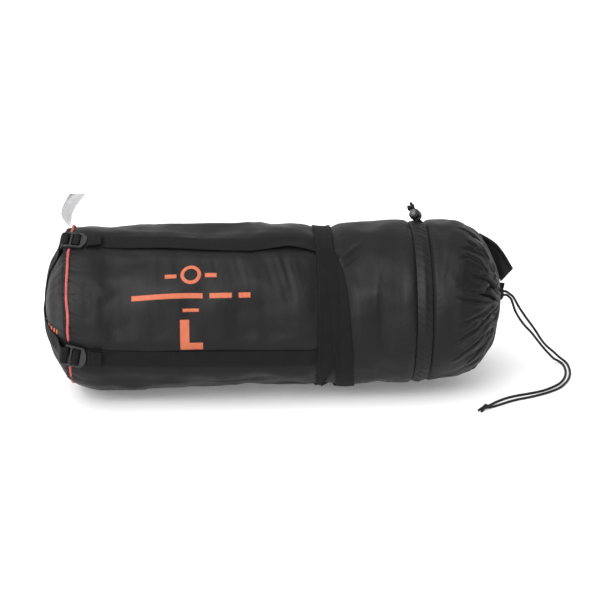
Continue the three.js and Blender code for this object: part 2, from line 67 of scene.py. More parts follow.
# Routes in millimetres, from the hem down to the floor and along it to the knot.
STRAND_A = [
    (329.4, 0, 136), (334, 3, 132.5), (341, 7, 125.8), (351.6, 14, 108), (364, 22, 89.5), (373.4, 29, 76.5),
    (383, 37, 62.5), (391.5, 46, 49), (401.3, 55, 36), (418.5, 70, 18.5), (428, 77, 8.5), (435, 77, 3.2),
    (437.5, 65, 2), (436.8, 50, 2), (433.8, 28, 2), (427.5, 4.5, 2), (417.5, -18, 2), (403.4, -39, 2),
    (385, -55, 2), (368, -66, 2), (353, -74, 2), (338, -80.5, 2), (323, -89.5, 2), (309, -100, 2),
    (299, -107, 2), (291.5, -112.3, 2.6),
]
STRAND_B = [
    (329.4, -4.6, 132.4), (333, -3.8, 129.5), (336.8, -2, 125), (340, 1, 117), (345, 6, 104.5),
    (353.8, 14, 89.5), (363, 21, 77), (374, 29, 64.5), (385.5, 39, 49), (397.3, 49, 33.5), (411, 62, 17),
    (419, 72, 8), (426, 76.5, 3.2), (430.3, 65, 2), (429.8, 43.4, 2), (426, 21.5, 2), (419.5, 1.5, 2),
    (409.4, -18, 2), (394, -35.5, 2), (376.5, -49, 2), (357, -58.5, 2), (338.5, -66, 2), (321, -76, 2),
    (306, -89, 2), (296.5, -99.5, 2), (289.5, -107.8, 2.6),
]


# ---------------------------------------------------------------- mesh helpers

def mesh_object(name, points, faces, uvs=None, smooth=True):
    """A new object. uvs has one (u, v) for each point, in metres, or one for each face corner."""
    mesh = bpy.data.meshes.new(name)
    mesh.from_pydata(np.asarray(points, float).reshape(-1, 3).tolist(), [], [list(f) for f in faces])
    if uvs is not None:
        layer = mesh.uv_layers.new(name="UVMap")
        corner_points = np.zeros(len(mesh.loops), np.int32)
        mesh.loops.foreach_get("vertex_index", corner_points)
        uvs = np.asarray(uvs, float).reshape(-1, 2)
        layer.data.foreach_set("uv", (uvs if len(uvs) == len(corner_points) else uvs[corner_points]).ravel())
    mesh.polygons.foreach_set("use_smooth", [smooth] * len(mesh.polygons))
    obj = bpy.data.objects.new(name, mesh)
    bpy.context.scene.collection.objects.link(obj)
    return obj


def grid_faces(rows, columns, wrap_rows=False, wrap_columns=False):
    """Quads over a grid of points, row after row."""
    i = np.arange(rows if wrap_rows else rows - 1)
    j = np.arange(columns if wrap_columns else columns - 1)
    i, j = (a.ravel() for a in np.meshgrid(i, j, indexing="ij"))
    i2, j2 = (i + 1) % rows, (j + 1) % columns
    return np.stack([i * columns + j, i * columns + j2, i2 * columns + j2, i2 * columns + j], axis=1)


def tube_faces(rows, sides, closed=False):
    """Quads over rings of points, with a flat face on each end, or joined up when closed."""
    faces = grid_faces(rows, sides, wrap_rows=closed, wrap_columns=True).tolist()
    if not closed:
        last = (rows - 1) * sides
        faces += [list(range(sides - 1, -1, -1)), list(range(last, last + sides))]
    return faces


def uv_grid(u, v, shape):
    """(u, v) for each point of a grid, in metres."""
    return np.stack([np.broadcast_to(u, shape), np.broadcast_to(v, shape)], axis=-1)


def grid_object(name, points, u, v, wrap_rows=False, wrap_columns=False):
    """A sheet from an array of points (rows, columns, 3), with u and v in metres for each point."""
    rows, columns = points.shape[:2]
    faces = grid_faces(rows, columns, wrap_rows, wrap_columns)
    u, v = np.broadcast_to(u, (rows, columns)), np.broadcast_to(v, (rows, columns))
    corner_uv = np.stack([u.ravel()[faces], v.ravel()[faces]], axis=-1)
    if wrap_columns:  # the last column of faces runs on past the seam
        step = v[:, 1] - v[:, 0]
        last = corner_uv.reshape(-1, columns, 4, 2)[:, -1]
        last[:, 1, 1] = (v[:, -1] + step)[: len(last)]
        last[:, 2, 1] = np.roll(v[:, -1] + step, -1)[: len(last)]
    return mesh_object(name, points, faces.tolist(), corner_uv.reshape(-1, 2))


def unit(vectors):
    return vectors / np.maximum(np.linalg.norm(vectors, axis=-1, keepdims=True), 1e-12)


def lengths_along(points):
    return np.concatenate([[0], np.cumsum(np.linalg.norm(np.diff(points, axis=0), axis=1))])


def smooth_path(points, step):
    """Points a step apart along a centripetal Catmull-Rom curve through the given ones."""
    p = np.asarray(points, float)
    p = np.vstack([2 * p[0] - p[1], p, 2 * p[-1] - p[-2]])
    between = lambda t, start, end, from_point, to_point: (
        (end - t) * from_point + (t - start) * to_point) / (end - start)
    pieces = []
    for a, b, c, d in zip(p, p[1:], p[2:], p[3:]):
        t0, t1 = 0.0, np.linalg.norm(b - a) ** 0.5
        t2 = t1 + np.linalg.norm(c - b) ** 0.5
        t3 = t2 + np.linalg.norm(d - c) ** 0.5
        t = np.linspace(t1, t2, 12, endpoint=False)[:, None]
        ab, bc, cd = between(t, t0, t1, a, b), between(t, t1, t2, b, c), between(t, t2, t3, c, d)
        abc, bcd = between(t, t0, t2, ab, bc), between(t, t1, t3, bc, cd)
        pieces.append(between(t, t1, t2, abc, bcd))
    fine = np.vstack([*pieces, p[-2:-1]])
    return resampled(fine, step)


def resampled(points, step):
    run = lengths_along(points)
    count = max(2, round(run[-1] / step) + 1)
    at = np.linspace(0, run[-1], count)
    return np.stack([np.interp(at, run, points[:, k]) for k in range(points.shape[1])], axis=1)


def carried_frames(path):
    """A direction across the path at each point, carried along it without twist, and the other one."""
    tangent = unit(np.gradient(path, axis=0))
    side = np.cross(tangent[0], (0.3, 0.1, 0.95))
    sides = []
    for t in tangent:
        side = side - t * side.dot(t)
        side = side / np.linalg.norm(side)
        sides.append(side)
    sides = np.array(sides)
    return sides, np.cross(tangent, sides)


def rings_round(path, radius, first, second, sides):
    """A ring of points round each point of a path. first and second are directions across the path."""
    turns = np.linspace(0, TAU, sides, endpoint=False)
    radius = np.broadcast_to(radius, (len(path),))[:, None, None]
    return path[:, None] + radius * (
        first[:, None] * np.cos(turns)[None, :, None] + second[:, None] * np.sin(turns)[None, :, None])


def round_mesh(name, rings, run, closed=False, girth=0.012):
    """A mesh over rings of points. girth is how far its texture runs round it, in metres."""
    shape = rings.shape[:2]
    turns = np.linspace(0, TAU, shape[1], endpoint=False)
    uvs = uv_grid(turns / TAU * girth, run[:, None], shape)
    return mesh_object(name, rings, tube_faces(*shape, closed), uvs)


def tube(name, path, radius, sides=12):
    """A round cord with closed, rounded ends along a path of points."""
    rings = rings_round(path, radius, *carried_frames(path), sides)
    tangent = unit(np.gradient(path, axis=0))
    tips = []
    for end, way in ((0, -1), (-1, 1)):
        middle = path[end]
        tips.append([middle + (rings[end] - middle) * share + way * tangent[end] * radius * rise
                     for share, rise in ((0.8, 0.45), (0.4, 0.75), (0.02, 0.85))])
    rings = np.concatenate([tips[0][::-1], rings, tips[1]])
    return round_mesh(name, rings, np.concatenate([[0, 0, 0], lengths_along(path), [0, 0, 0]]))


def noise(a, b, seed, wrap=256):
    """Smooth noise from -1 to 1 on a unit lattice. It repeats in b every wrap cells."""
    table = np.random.default_rng(seed).uniform(-1, 1, (256, 256))
    a, b = np.broadcast_arrays(np.asarray(a, float), np.asarray(b, float))
    ia, ib = np.floor(a).astype(int), np.floor(b).astype(int)
    fa, fb = a - ia, b - ib
    fa, fb = fa ** 3 * (fa * (fa * 6 - 15) + 10), fb ** 3 * (fb * (fb * 6 - 15) + 10)
    corner = lambda i, j: table[i % 256, j % wrap]
    low = corner(ia, ib) * (1 - fa) + corner(ia + 1, ib) * fa
    high = corner(ia, ib + 1) * (1 - fa) + corner(ia + 1, ib + 1) * fa
    return low * (1 - fb) + high * fb


def ease(value, start, end):
    """0 before start, 1 after end, smooth between."""
    t = np.clip((value - start) / (end - start), 0, 1)
    return t * t * (3 - 2 * t)


def hump(distance, width):
    return np.exp(-(distance / width) ** 2)


# ---------------------------------------------------------------- materials

class Nodes:
    """A short way to write a material's node tree."""

    def __init__(self, name, color, roughness, **sockets):
        self.material = bpy.data.materials.new(name)
        self.material.use_nodes = True
        self.tree = self.material.node_tree
        self.shader = self.tree.nodes["Principled BSDF"]
        self.shader.inputs["Base Color"].default_value = (*color, 1)
        self.shader.inputs["Roughness"].default_value = roughness
        for socket, value in sockets.items():
            self.shader.inputs[socket.replace("_", " ")].default_value = value

    def add(self, kind, inputs=None, **settings):
        node = self.tree.nodes.new("ShaderNode" + kind)
        for key, value in settings.items():
            setattr(node, key, value)
        for key, value in (inputs or {}).items():
            if isinstance(value, bpy.types.NodeSocket):
                self.tree.links.new(value, node.inputs[key])
            else:
                node.inputs[key].default_value = value
        return node

    def math(self, operation, *values):
        return self.add("Math", dict(enumerate(values)), operation=operation).outputs[0]

    def uv(self):
        return self.add("UVMap", uv_map="UVMap").outputs["UV"]

    def object_place(self):
        return self.add("TexCoord").outputs["Object"]

    def scaled(self, vector, scale):
        return self.add("Mapping", {"Vector": vector, "Scale": scale}).outputs[0]

    def noise(self, vector, scale, detail=3.0, roughness=0.5, distortion=0.0):
        inputs = {"Vector": vector, "Scale": scale, "Detail": detail, "Roughness": roughness,
                  "Distortion": distortion}
        return self.add("TexNoise", inputs).outputs["Fac"]

    def ramp(self, value, low, high, to_low, to_high):
        inputs = {"Value": value, "From Min": low, "From Max": high, "To Min": to_low, "To Max": to_high}
        return self.add("MapRange", inputs).outputs["Result"]

    def mix(self, share, a, b):
        """Colours a and b are (r, g, b) or sockets."""
        node = self.add("Mix", data_type="RGBA")
        for key, value in ((0, share), (6, a), (7, b)):
            if isinstance(value, bpy.types.NodeSocket):
                self.tree.links.new(value, node.inputs[key])
            else:
                node.inputs[key].default_value = (*value, 1) if isinstance(value, tuple) else value
        return node.outputs[2]

    def bump(self, height, distance, strength=1.0, onto=None):
        inputs = {"Height": height, "Distance": distance, "Strength": strength}
        if onto is not None:
            inputs["Normal"] = onto
        return self.add("Bump", inputs).outputs["Normal"]

    def drive(self, socket, value):
        self.tree.links.new(value, self.shader.inputs[socket])

    def tint(self, share, dark, light, low=0.3, high=0.7):
        """Colour that goes from dark to light as share goes from low to high."""
        self.drive("Base Color", self.mix(self.ramp(share, low, high, 0.0, 1.0), dark, light))

    def gloss(self, share, smooth, rough):
        """Roughness that goes from smooth to rough as share goes from 0.3 to 0.7."""
        self.drive("Roughness", self.ramp(share, 0.3, 0.7, smooth, rough))


def shade(color, factor):
    """The colour made darker or lighter."""
    return tuple(min(1, c * factor) for c in color)


def plain_weave(n, pitch_u, pitch_v):
    """Height of an over and under weave, from 0 to 1, on the UV map in metres."""
    across = n.add("SeparateXYZ", {"Vector": n.scaled(n.uv(), (1 / pitch_u, 1 / pitch_v, 1))})
    u, v = across.outputs[0], across.outputs[1]
    warp = n.math("ABSOLUTE", n.math("SINE", n.math("MULTIPLY", u, math.pi)))
    weft = n.math("ABSOLUTE", n.math("SINE", n.math("MULTIPLY", v, math.pi)))
    cells = n.math("ADD", n.math("FLOOR", u), n.math("FLOOR", v))
    odd = n.math("ABSOLUTE", n.math("MODULO", cells, 2.0))
    over = n.math("MULTIPLY", warp, odd)
    under = n.math("MULTIPLY", weft, n.math("SUBTRACT", 1.0, odd))
    return n.math("ADD", over, under)


def nylon(name, color, roughness):
    """Coated taffeta: a fine weave, slubs in both directions, soft crinkles and a low, uneven sheen."""
    n = Nodes(name, color, roughness, Sheen_Weight=0.015, Sheen_Roughness=0.4, Specular_IOR_Level=0.16)
    uv = n.uv()
    place = n.object_place()
    weave = plain_weave(n, 0.55 * MM, 0.55 * MM)
    slub = n.noise(n.scaled(uv, (1 / 0.0012, 1 / 0.05, 1)), 1.0, detail=2.0)
    slub_across = n.noise(n.scaled(uv, (1 / 0.06, 1 / 0.0012, 1)), 1.0, detail=2.0)
    crinkle_place = n.scaled(uv, (1 / 0.010, 1 / 0.022, 1))
    crinkle = n.noise(crinkle_place, 1.0, detail=5.0, roughness=0.55, distortion=0.6)
    threads = n.math("ADD", n.math("MULTIPLY", slub, 0.5), n.math("MULTIPLY", slub_across, 0.5))
    normal = n.bump(weave, 0.035 * MM, 0.6)
    normal = n.bump(threads, 0.05 * MM, 0.7, normal)
    normal = n.bump(crinkle, 0.9 * MM, 0.55, normal)
    n.drive("Normal", normal)
    patch = n.noise(place, 9.0, detail=4.0)
    wear = n.math("ADD", n.math("MULTIPLY", patch, 0.7), n.math("MULTIPLY", threads, 0.3))
    n.tint(wear, shade(color, 0.82), shade(color, 1.22))
    n.gloss(n.noise(place, 22.0), roughness - 0.06, roughness + 0.07)
    return n.material


def webbing_cloth(name, color, rib=1.7 * MM):
    """Flat nylon webbing: cross ribs in two staggered rows, with a slight fuzz, painted shade between the
    ribs and a painted highlight on their tops.
    """
    n = Nodes(name, color, 0.72, Sheen_Weight=0.015, Sheen_Roughness=0.5, Specular_IOR_Level=0.10)
    place = n.object_place()
    weave = plain_weave(n, rib * 0.75, rib)
    fuzz = n.noise(place, 2600.0, detail=2.0)
    normal = n.bump(weave, 0.34 * MM, 1.0)
    normal = n.bump(fuzz, 0.10 * MM, 0.5, normal)
    n.drive("Normal", normal)
    # Colour follows the weave's height: painted shade in its hollows and a painted highlight on the rib tops,
    # mixed with random tone.
    painted_shade_and_tone = n.math("ADD", n.math("MULTIPLY", weave, 0.6), n.math("MULTIPLY", n.noise(place, 60.0), 0.4))
    n.tint(painted_shade_and_tone, shade(color, 0.45), shade(color, 1.45), 0.2, 0.8)
    n.gloss(fuzz, 0.64, 0.8)
    return n.material


def braid(name, color, roughness=0.6, pitch=2.4 * MM):
    """Round braided cord: strands that spiral both ways, with painted shade between them."""
    n = Nodes(name, color, roughness, Sheen_Weight=0.03, Specular_IOR_Level=0.2)
    across = n.add("SeparateXYZ", {"Vector": n.scaled(n.uv(), (8 / 0.012, 1 / pitch, 1))})
    u, v = across.outputs[0], across.outputs[1]
    one = n.math("ABSOLUTE", n.math("SINE", n.math("MULTIPLY", n.math("ADD", u, v), math.pi)))
    other = n.math("ABSOLUTE", n.math("SINE", n.math("MULTIPLY", n.math("SUBTRACT", u, v), math.pi)))
    strands = n.math("MAXIMUM", one, other)
    fuzz = n.noise(n.object_place(), 3000.0)
    n.drive("Normal", n.bump(fuzz, 0.05 * MM, 0.5, n.bump(strands, 0.35 * MM, 0.9)))
    # The colour darkens between the strands: painted shade.
    n.tint(strands, shade(color, 0.45), color, 0.3, 1.0)
    n.gloss(fuzz, roughness - 0.05, roughness + 0.1)
    return n.material


def moulded(name, color, roughness):
    """Moulded plastic: a fine spark texture, flow marks and rubbed, lighter high spots."""
    n = Nodes(name, color, roughness, Specular_IOR_Level=0.4)
    place = n.object_place()
    spark = n.noise(place, 1900.0, detail=3.0)
    flow = n.noise(n.scaled(place, (1, 1, 3)), 55.0, detail=3.0, distortion=1.2)
    n.drive("Normal", n.bump(spark, 0.03 * MM, 0.5))
    n.tint(flow, shade(color, 0.85), shade(color, 1.25))
    n.gloss(n.noise(place, 130.0), roughness - 0.06, roughness + 0.08)
    return n.material


def satin(name, color):
    """Woven satin ribbon: long floats along the ribbon, rippled folds with painted shade in their hollows,
    and a strong sheen.
    """
    n = Nodes(name, color, 0.38, Sheen_Weight=0.4, Specular_IOR_Level=0.5)
    uv = n.uv()
    floats = n.noise(n.scaled(uv, (1 / 0.0004, 1 / 0.006, 1)), 1.0, detail=2.0)
    wave = n.noise(n.scaled(uv, (1 / 0.012, 1 / 0.018, 1)), 1.0, detail=2.0)
    n.drive("Normal", n.bump(floats, 0.06 * MM, 0.6, n.bump(wave, 1.2 * MM, 0.5)))
    # Colour darker in the ripples' hollows: painted shade, mixed with the floats' own tone.
    painted_shade_and_tone = n.math("ADD", n.math("MULTIPLY", floats, 0.4), n.math("MULTIPLY", wave, 0.6))
    n.tint(painted_shade_and_tone, shade(color, 0.84), color, 0.25, 0.75)
    n.gloss(floats, 0.3, 0.48)
    return n.material


def screen_print(name, color):
    """Printed ink that follows the weave, a little thin in places."""
    n = Nodes(name, color, 0.55, Specular_IOR_Level=0.35)
    weave = plain_weave(n, 0.6 * MM, 0.6 * MM)
    thin = n.noise(n.object_place(), 420.0, detail=4.0)
    n.drive("Normal", n.bump(weave, 0.05 * MM, 0.6))
    n.tint(thin, color, shade(color, 0.8), 0.35, 0.7)
    n.gloss(thin, 0.48, 0.64)
    return n.material


def spring_wire(name):
    n = Nodes(name, (0.55, 0.56, 0.58), 0.28, Metallic=1.0)
    drawn = n.noise(n.object_place(), 1500.0)
    n.gloss(drawn, 0.2, 0.4)
    n.drive("Normal", n.bump(drawn, 0.01 * MM, 0.4))
    return n.material


BLACK_NYLON = nylon("black_nylon", (0.0066, 0.0066, 0.0071), 0.46)
# A darker copy of the black nylon: painted shade on the end cap and the storm flap.
SHADED_NYLON = nylon("cap_nylon", (0.0045, 0.0045, 0.0049), 0.50)
HEM_NYLON = nylon("hem_nylon", (0.0055, 0.0055, 0.0060), 0.52)
LOAD_CLOTH = nylon("packed_load", (0.10, 0.11, 0.13), 0.60)
WEBBING = webbing_cloth("black_webbing", (0.0062, 0.0062, 0.0066))
PIPING_CORD = webbing_cloth("coral_piping", (0.49, 0.105, 0.100), rib=1.2 * MM)
BLACK_BRAID = braid("black_braid", (0.0070, 0.0070, 0.0075))
# White satin given a grey colour: painted shade for the label's shaded side.
LABEL_SATIN = satin("white_satin", (0.29, 0.29, 0.295))
THREAD = braid("black_thread", (0.020, 0.020, 0.021), 0.45, 0.5 * MM)
LOCK_PLASTIC = moulded("lock_plastic", (0.012, 0.0122, 0.013), 0.38)
BARREL_PLASTIC = moulded("cord_lock_black", (0.007, 0.007, 0.0075), 0.25)
PLUNGER_PLASTIC = moulded("plunger_grey", (0.060, 0.060, 0.062), 0.26)
ORANGE_INK = screen_print("orange_ink", (0.44, 0.106, 0.047))
SPRING_STEEL = spring_wire("spring_steel")


def finish_piece(obj, material, body, replaces=()):
    """Gives a piece its material, the body it rides on, and the CAD nodes it stands for."""
    obj.data.materials.clear()
    obj.data.materials.append(material)
    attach(obj, body)
    if replaces:
        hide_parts(*replaces)
    return obj


def finish_webbing(obj, body, *replaces):
    return finish_piece(obj, WEBBING, body, replaces)


def finish_cord(obj, *replaces):
    return finish_piece(obj, BLACK_BRAID, "sack", replaces)


# ---------------------------------------------------------------- the stuffed shape

# Station along the sack, radius and height of the centre line, in millimetres, from the base's middle
# to the end of the gathered mouth.
OUTLINE = np.array([
    (-321.6, 0, 121.5), (-321.2, 22, 121.5), (-319, 42, 121.5), (-311, 71.7, 121.5), (-302, 88, 121.5),
    (-294, 101.5, 121.5), (-288.6, 108.6, 121.5), (-280, 112.6, 118.8), (-270, 114.6, 116.6),
    (-250, 115.6, 114.4), (-209, 115, 113.2), (-140, 117.4, 115.6), (-60, 117.3, 115.5), (20, 116.8, 115.1),
    (42, 116, 114.5), (53, 113.5, 114.2), (66, 113, 114.2), (79, 113.4, 114.2), (90, 115.9, 114.5),
    (112, 117.2, 115), (184, 117.6, 118), (190, 113, 119.6), (200, 112.4, 120.4), (210, 112.8, 120.8),
    (216, 116.4, 120.9), (234, 116, 122.4), (251, 113.4, 124.4), (268, 107, 126.4), (285, 95.5, 127.5),
    (297, 82, 127.5), (306.6, 67, 126.4), (314, 45.5, 129.5), (318.5, 27, 133.5), (321.5, 12, 135.6),
]) * MM


def dense_outline():
    """The outline as closely spaced points (x, radius, centre), with the distance along it and its normal."""
    fine = smooth_path(OUTLINE, 0.7 * MM)
    run = lengths_along(fine[:, :2])
    slope = unit(np.gradient(fine[:, :2], run, axis=0))
    return run, fine, np.stack([-slope[:, 1], slope[:, 0]], axis=1)


RUN, DENSE, OUTWARD = dense_outline()
STRAP_ANGLES = (70, -15, -110, 165)
GIRTH_X = (53.4 * MM, 78.4 * MM)
PANEL_SEAM_X = 66 * MM
CHANNEL_X = (188.8 * MM, 211.2 * MM)
BASE_SEAM_X = -288.4 * MM
RADIUS = 0.1165
ROUND = TAU * RADIUS  # nominal distance round the sack
PRESSED = {"angle": -110, "depth": 6.5 * MM, "from_x": -0.150, "full_x": -0.195}


# How much the sack is drawn in low on its front, where it curves away from the floor: (station, depth), in
# millimetres.
UNDERCUT = np.array([
    (-322, 4), (-300, 8), (-288, 9), (-250, 6.5), (-190, 7.5), (-100, 10), (-40, 14), (30, 12), (70, 8),
    (100, 8), (140, 14), (180, 9), (200, 5), (235, 7), (270, 4), (300, 2), (321, 0),
]) * MM
UNDERCUT_ANGLE, UNDERCUT_REACH = -70, 23


def undercut(x, angle):
    return np.interp(x, UNDERCUT[:, 0], UNDERCUT[:, 1]) * hump(turned(angle, UNDERCUT_ANGLE), UNDERCUT_REACH)


# How much further out the stuffed shape stands along its top: (station, rise) in millimetres.
CREST = np.array([
    (-300, 0), (-272, 1.2), (-246, 4.5), (-219, 6.5), (-193, 6.3), (-166, 4), (-140, 1.5), (-100, 0),
    (-60, 1.6), (-33, 2.4), (-6, 3), (20, 3.4), (47, 2.4), (70, 0.8), (91, 3.6), (117, 3.6), (157, 3.4),
    (180, 2.6), (200, 1.2), (216, 1.6), (237, 0.4), (250, 0),
]) * MM
CREST_ANGLE, CREST_REACH = 98, 42


def crest(x, angle):
    return np.interp(x, CREST[:, 0], CREST[:, 1]) * hump(turned(angle, CREST_ANGLE), CREST_REACH)


def run_at(x):
    return np.interp(x, DENSE[:, 0], RUN)


def turned(angle, centre):
    """The signed difference of two angles, from -180 to 180."""
    return (angle - centre + 180) % 360 - 180


def pressed_share(angle):
    """How fully the sack's pressed side is drawn in at an angle, from 0 to 1."""
    return 1 - ease(np.abs(turned(angle, PRESSED["angle"])), 9, 24)


def degrees_from_strap(angle):
    """Degrees to the nearest compression strap's own angle."""
    return np.min([np.abs(turned(angle, a)) for a in STRAP_ANGLES], axis=0)


def skin(run, angle, lift=0.0, bed=0.0):
    """Points on the stuffed shape, lifted off it. The shape is flattened where the sack lies."""
    run, angle, lift = np.broadcast_arrays(run, angle, lift)
    x, radius, centre = (np.interp(run, RUN, DENSE[:, k]) for k in range(3))
    out_x, out_r = (np.interp(run, RUN, OUTWARD[:, k]) for k in range(2))
    dent = PRESSED["depth"] * pressed_share(angle) * (1 - ease(x, PRESSED["full_x"], PRESSED["from_x"]))
    dent = dent * ease(x, -0.318, -0.3)
    dent = dent + undercut(x, angle) * ease(radius, 0, 0.08) - crest(x, angle)
    reach = np.maximum(radius + lift * out_r - dent, 0)
    turn = np.radians(angle)
    z = centre + reach * np.sin(turn)
    soft = 1.2 * MM
    z = bed + soft * np.logaddexp(0, (z - bed) / soft)
    return np.stack([x + lift * out_x, -reach * np.cos(turn), z], axis=-1)


# How far straps 1 and 2 stray from their angle: (station in millimetres, degrees).
STRAP_STRAY = {
    1: [(-276, 0), (-245, 1.6), (-183, -0.6), (-106, -3.4), (-35, -5.4), (16, -2.3), (52, -4.4), (80, -4.0)],
    2: [(-276, 0), (-240, 0), (-160, -2.4), (80, -3.0)],
}


def strap_angle_at(number, x):
    """The angle of a strap's middle at each station."""
    stray = 0.4 * noise(x / 0.11, number * 3.7, 205) * ease(x, -0.235, -0.16)
    if number in STRAP_STRAY:
        stations, degrees = np.array(STRAP_STRAY[number], float).T
        stray = stray + np.interp(x, stations * MM, degrees)
    return STRAP_ANGLES[number - 1] + stray


def across_strap(x, angle):
    """Distance round the sack from the nearest compression strap's middle."""
    degrees = [np.abs(turned(angle, strap_angle_at(number, x))) for number in (1, 2, 3, 4)]
    return np.min(degrees, axis=0) * ROUND / 360


def lobes(angle, count, seed, sharp=0.6):
    """Rounded folds side by side with sharp valleys between them, from 0 to 1, of uneven width."""
    rng = np.random.default_rng(seed)
    edges = np.cumsum(rng.uniform(0.6, 1.4, count))
    edges = np.concatenate([[0], edges]) / edges[-1] * 360
    heights = rng.uniform(0.55, 1, count)
    place = angle % 360
    k = np.clip(np.searchsorted(edges, place, side="right") - 1, 0, count - 1)
    t = (place - edges[k]) / (edges[k + 1] - edges[k])
    return heights[k] * (4 * t * (1 - t)) ** sharp


def puckers(distance, angle, reach, pitch, seed):
    """The small gathers beside a sewn seam. They die out over reach."""
    count = round(ROUND / pitch)
    depth = 0.55 + 0.45 * noise(angle / 14, angle * 0 + seed, seed + 5)
    return depth * lobes(angle + 2 * noise(distance / 0.006, angle / 6, seed), count, seed) * np.exp(
        -np.abs(distance) / reach)


def soft_folds(x, angle, seed, long_x, long_round):
    """Rounded, wandering folds, from 0 to 1. Their size along the sack and round it is given in metres."""
    cells = 2 * round(ROUND / long_round / 2)
    b = (angle % 360) / 360 * cells
    wander = 0.9 * noise(x / (long_x * 3), b * 0.5, seed + 1, cells // 2)
    lean = 0.6 * noise(x / (long_x * 5), b, seed + 3, cells)
    coarse = noise(x / long_x + wander, b + lean, seed, cells)
    fine = noise(x / long_x * 2.3 + wander, b * 2 + lean, seed + 2, cells * 2)
    return 0.5 + 0.42 * coarse + 0.2 * fine + 0.3 * (hump(coarse, 0.30) - 0.4)


# ---------------------------------------------------------------- cloth panels

FINE_ROUND = 480  # columns round the sack
COARSE = 4  # the simulated cloth has one column for each of these, and one row


def angles_round(columns):
    return np.arange(columns) * 360 / columns - 90


def stations_between(x_from, x_to, rows):
    """Distances along the outline, and the stations there, as columns."""
    runs = np.linspace(run_at(x_from), run_at(x_to), rows)[:, None]
    return runs, np.interp(runs, RUN, DENSE[:, 0])


def cubic_weights(coarse, fine, wrap):
    """A matrix that spreads coarse samples over a finer row of places, along Catmull-Rom curves."""
    at = np.arange(fine) * (coarse / fine if wrap else (coarse - 1) / (fine - 1))
    k = np.minimum(np.floor(at).astype(int), coarse - 1)
    t = at - k
    weights = np.stack([-t + 2 * t ** 2 - t ** 3, 2 - 5 * t ** 2 + 3 * t ** 3, t + 4 * t ** 2 - 3 * t ** 3,
                        t ** 3 - t ** 2], axis=1) / 2
    matrix = np.zeros((fine, coarse))
    for step in range(4):
        index = k + step - 1
        index = index % coarse if wrap else np.clip(index, 0, coarse - 1)
        np.add.at(matrix, (np.arange(fine), index), weights[:, step])
    return matrix


def eased_out(values):
    """A grid of values averaged with their neighbours. The grid's columns wrap round."""
    for _ in range(2):
        values = values / 2 + (np.roll(values, 1, axis=1) + np.roll(values, -1, axis=1)) / 4
        padded = np.concatenate([values[:1], values, values[-1:]])
        values = padded[1:-1] / 2 + (padded[2:] + padded[:-2]) / 4
    return values


def simulated_shift(name, points, pinned, slack, frames, most):
    """How far cloth cut a little too large moves from these points, held where pinned is 1."""
    rows, columns = points.shape[:2]
    sheet = grid_object(name, points, 0.0, 0.0, wrap_columns=True)
    group = sheet.vertex_groups.new(name="held")
    for index, weight in enumerate(pinned.ravel()):
        if weight > 0:
            group.add([index], float(weight), "REPLACE")
    cloth = sheet.modifiers.new("cloth", "CLOTH").settings
    cloth.quality = 6
    cloth.mass = 0.15
    cloth.tension_stiffness = cloth.compression_stiffness = 18
    cloth.shear_stiffness = 8
    cloth.bending_stiffness = 0.08
    cloth.air_damping = 2.5
    cloth.shrink_min = -slack
    cloth.vertex_group_mass = "held"
    cloth.use_pressure = True
    cloth.uniform_pressure_force = 0.8
    cloth.effector_weights.gravity = 0
    for frame_number in range(1, frames + 1):
        bpy.context.scene.frame_set(frame_number)
    depsgraph = bpy.context.evaluated_depsgraph_get()
    result = vertices_of(sheet.evaluated_get(depsgraph)).reshape(rows, columns, 3)
    bpy.context.scene.frame_set(1)
    bpy.data.objects.remove(sheet)
    shift = eased_out(result - points)
    length = np.linalg.norm(shift, axis=-1, keepdims=True)
    return shift * np.minimum(1, most / np.maximum(length, 1e-9))


def panel(name, x_from, x_to, step, height, cloth=None):
    """A cloth wall right round the sack, with its height off the stuffed shape at each place.

    cloth gives how loose the cloth is and where it is held, and its wrinkles are then simulated.
    """
    rows = round((run_at(x_to) - run_at(x_from)) / step) + 1
    angles = angles_round(FINE_ROUND)[None, :]
    runs, x = stations_between(x_from, x_to, rows)
    points = skin(runs, angles, height(x, runs, angles))
    if cloth:
        slack, held, most = cloth
        coarse_rows, coarse_columns = rows // COARSE, FINE_ROUND // COARSE
        coarse_angles = angles_round(coarse_columns)[None, :]
        coarse_runs, coarse_x = stations_between(x_from, x_to, coarse_rows)
        start = skin(coarse_runs, coarse_angles, height(coarse_x, coarse_runs, coarse_angles))
        shift = simulated_shift(name + "_relaxing", start, held(coarse_x, coarse_angles), slack, 14, most)
        along = cubic_weights(coarse_rows, rows, False)
        across = cubic_weights(coarse_columns, FINE_ROUND, True)
        points = points + np.einsum("ir,rck,jc->ijk", along, shift, across)
        points[..., 2] = np.maximum(points[..., 2], 0.2 * MM)
    around = np.radians(angles + 90) * RADIUS
    obj = grid_object(name, points, runs, around, wrap_columns=True)
    return obj, points


def strap_pressure(x, angle, x_from, x_to):
    """The groove that a tight strap presses into the sack, and the bulges beside it."""
    distance = across_strap(x, angle)
    held = ease(x, x_from - 0.012, x_from + 0.012) * (1 - ease(x, x_to - 0.008, x_to + 0.008))
    groove = -0.3 * MM * (1 - ease(distance, 0.011, 0.0165))
    bulge = 1.5 * MM * hump(distance - 0.025, 0.010) + 1.3 * MM * ease(distance, 0.02, 0.07)
    return held * (groove + bulge)


LABEL_ANGLE = 103


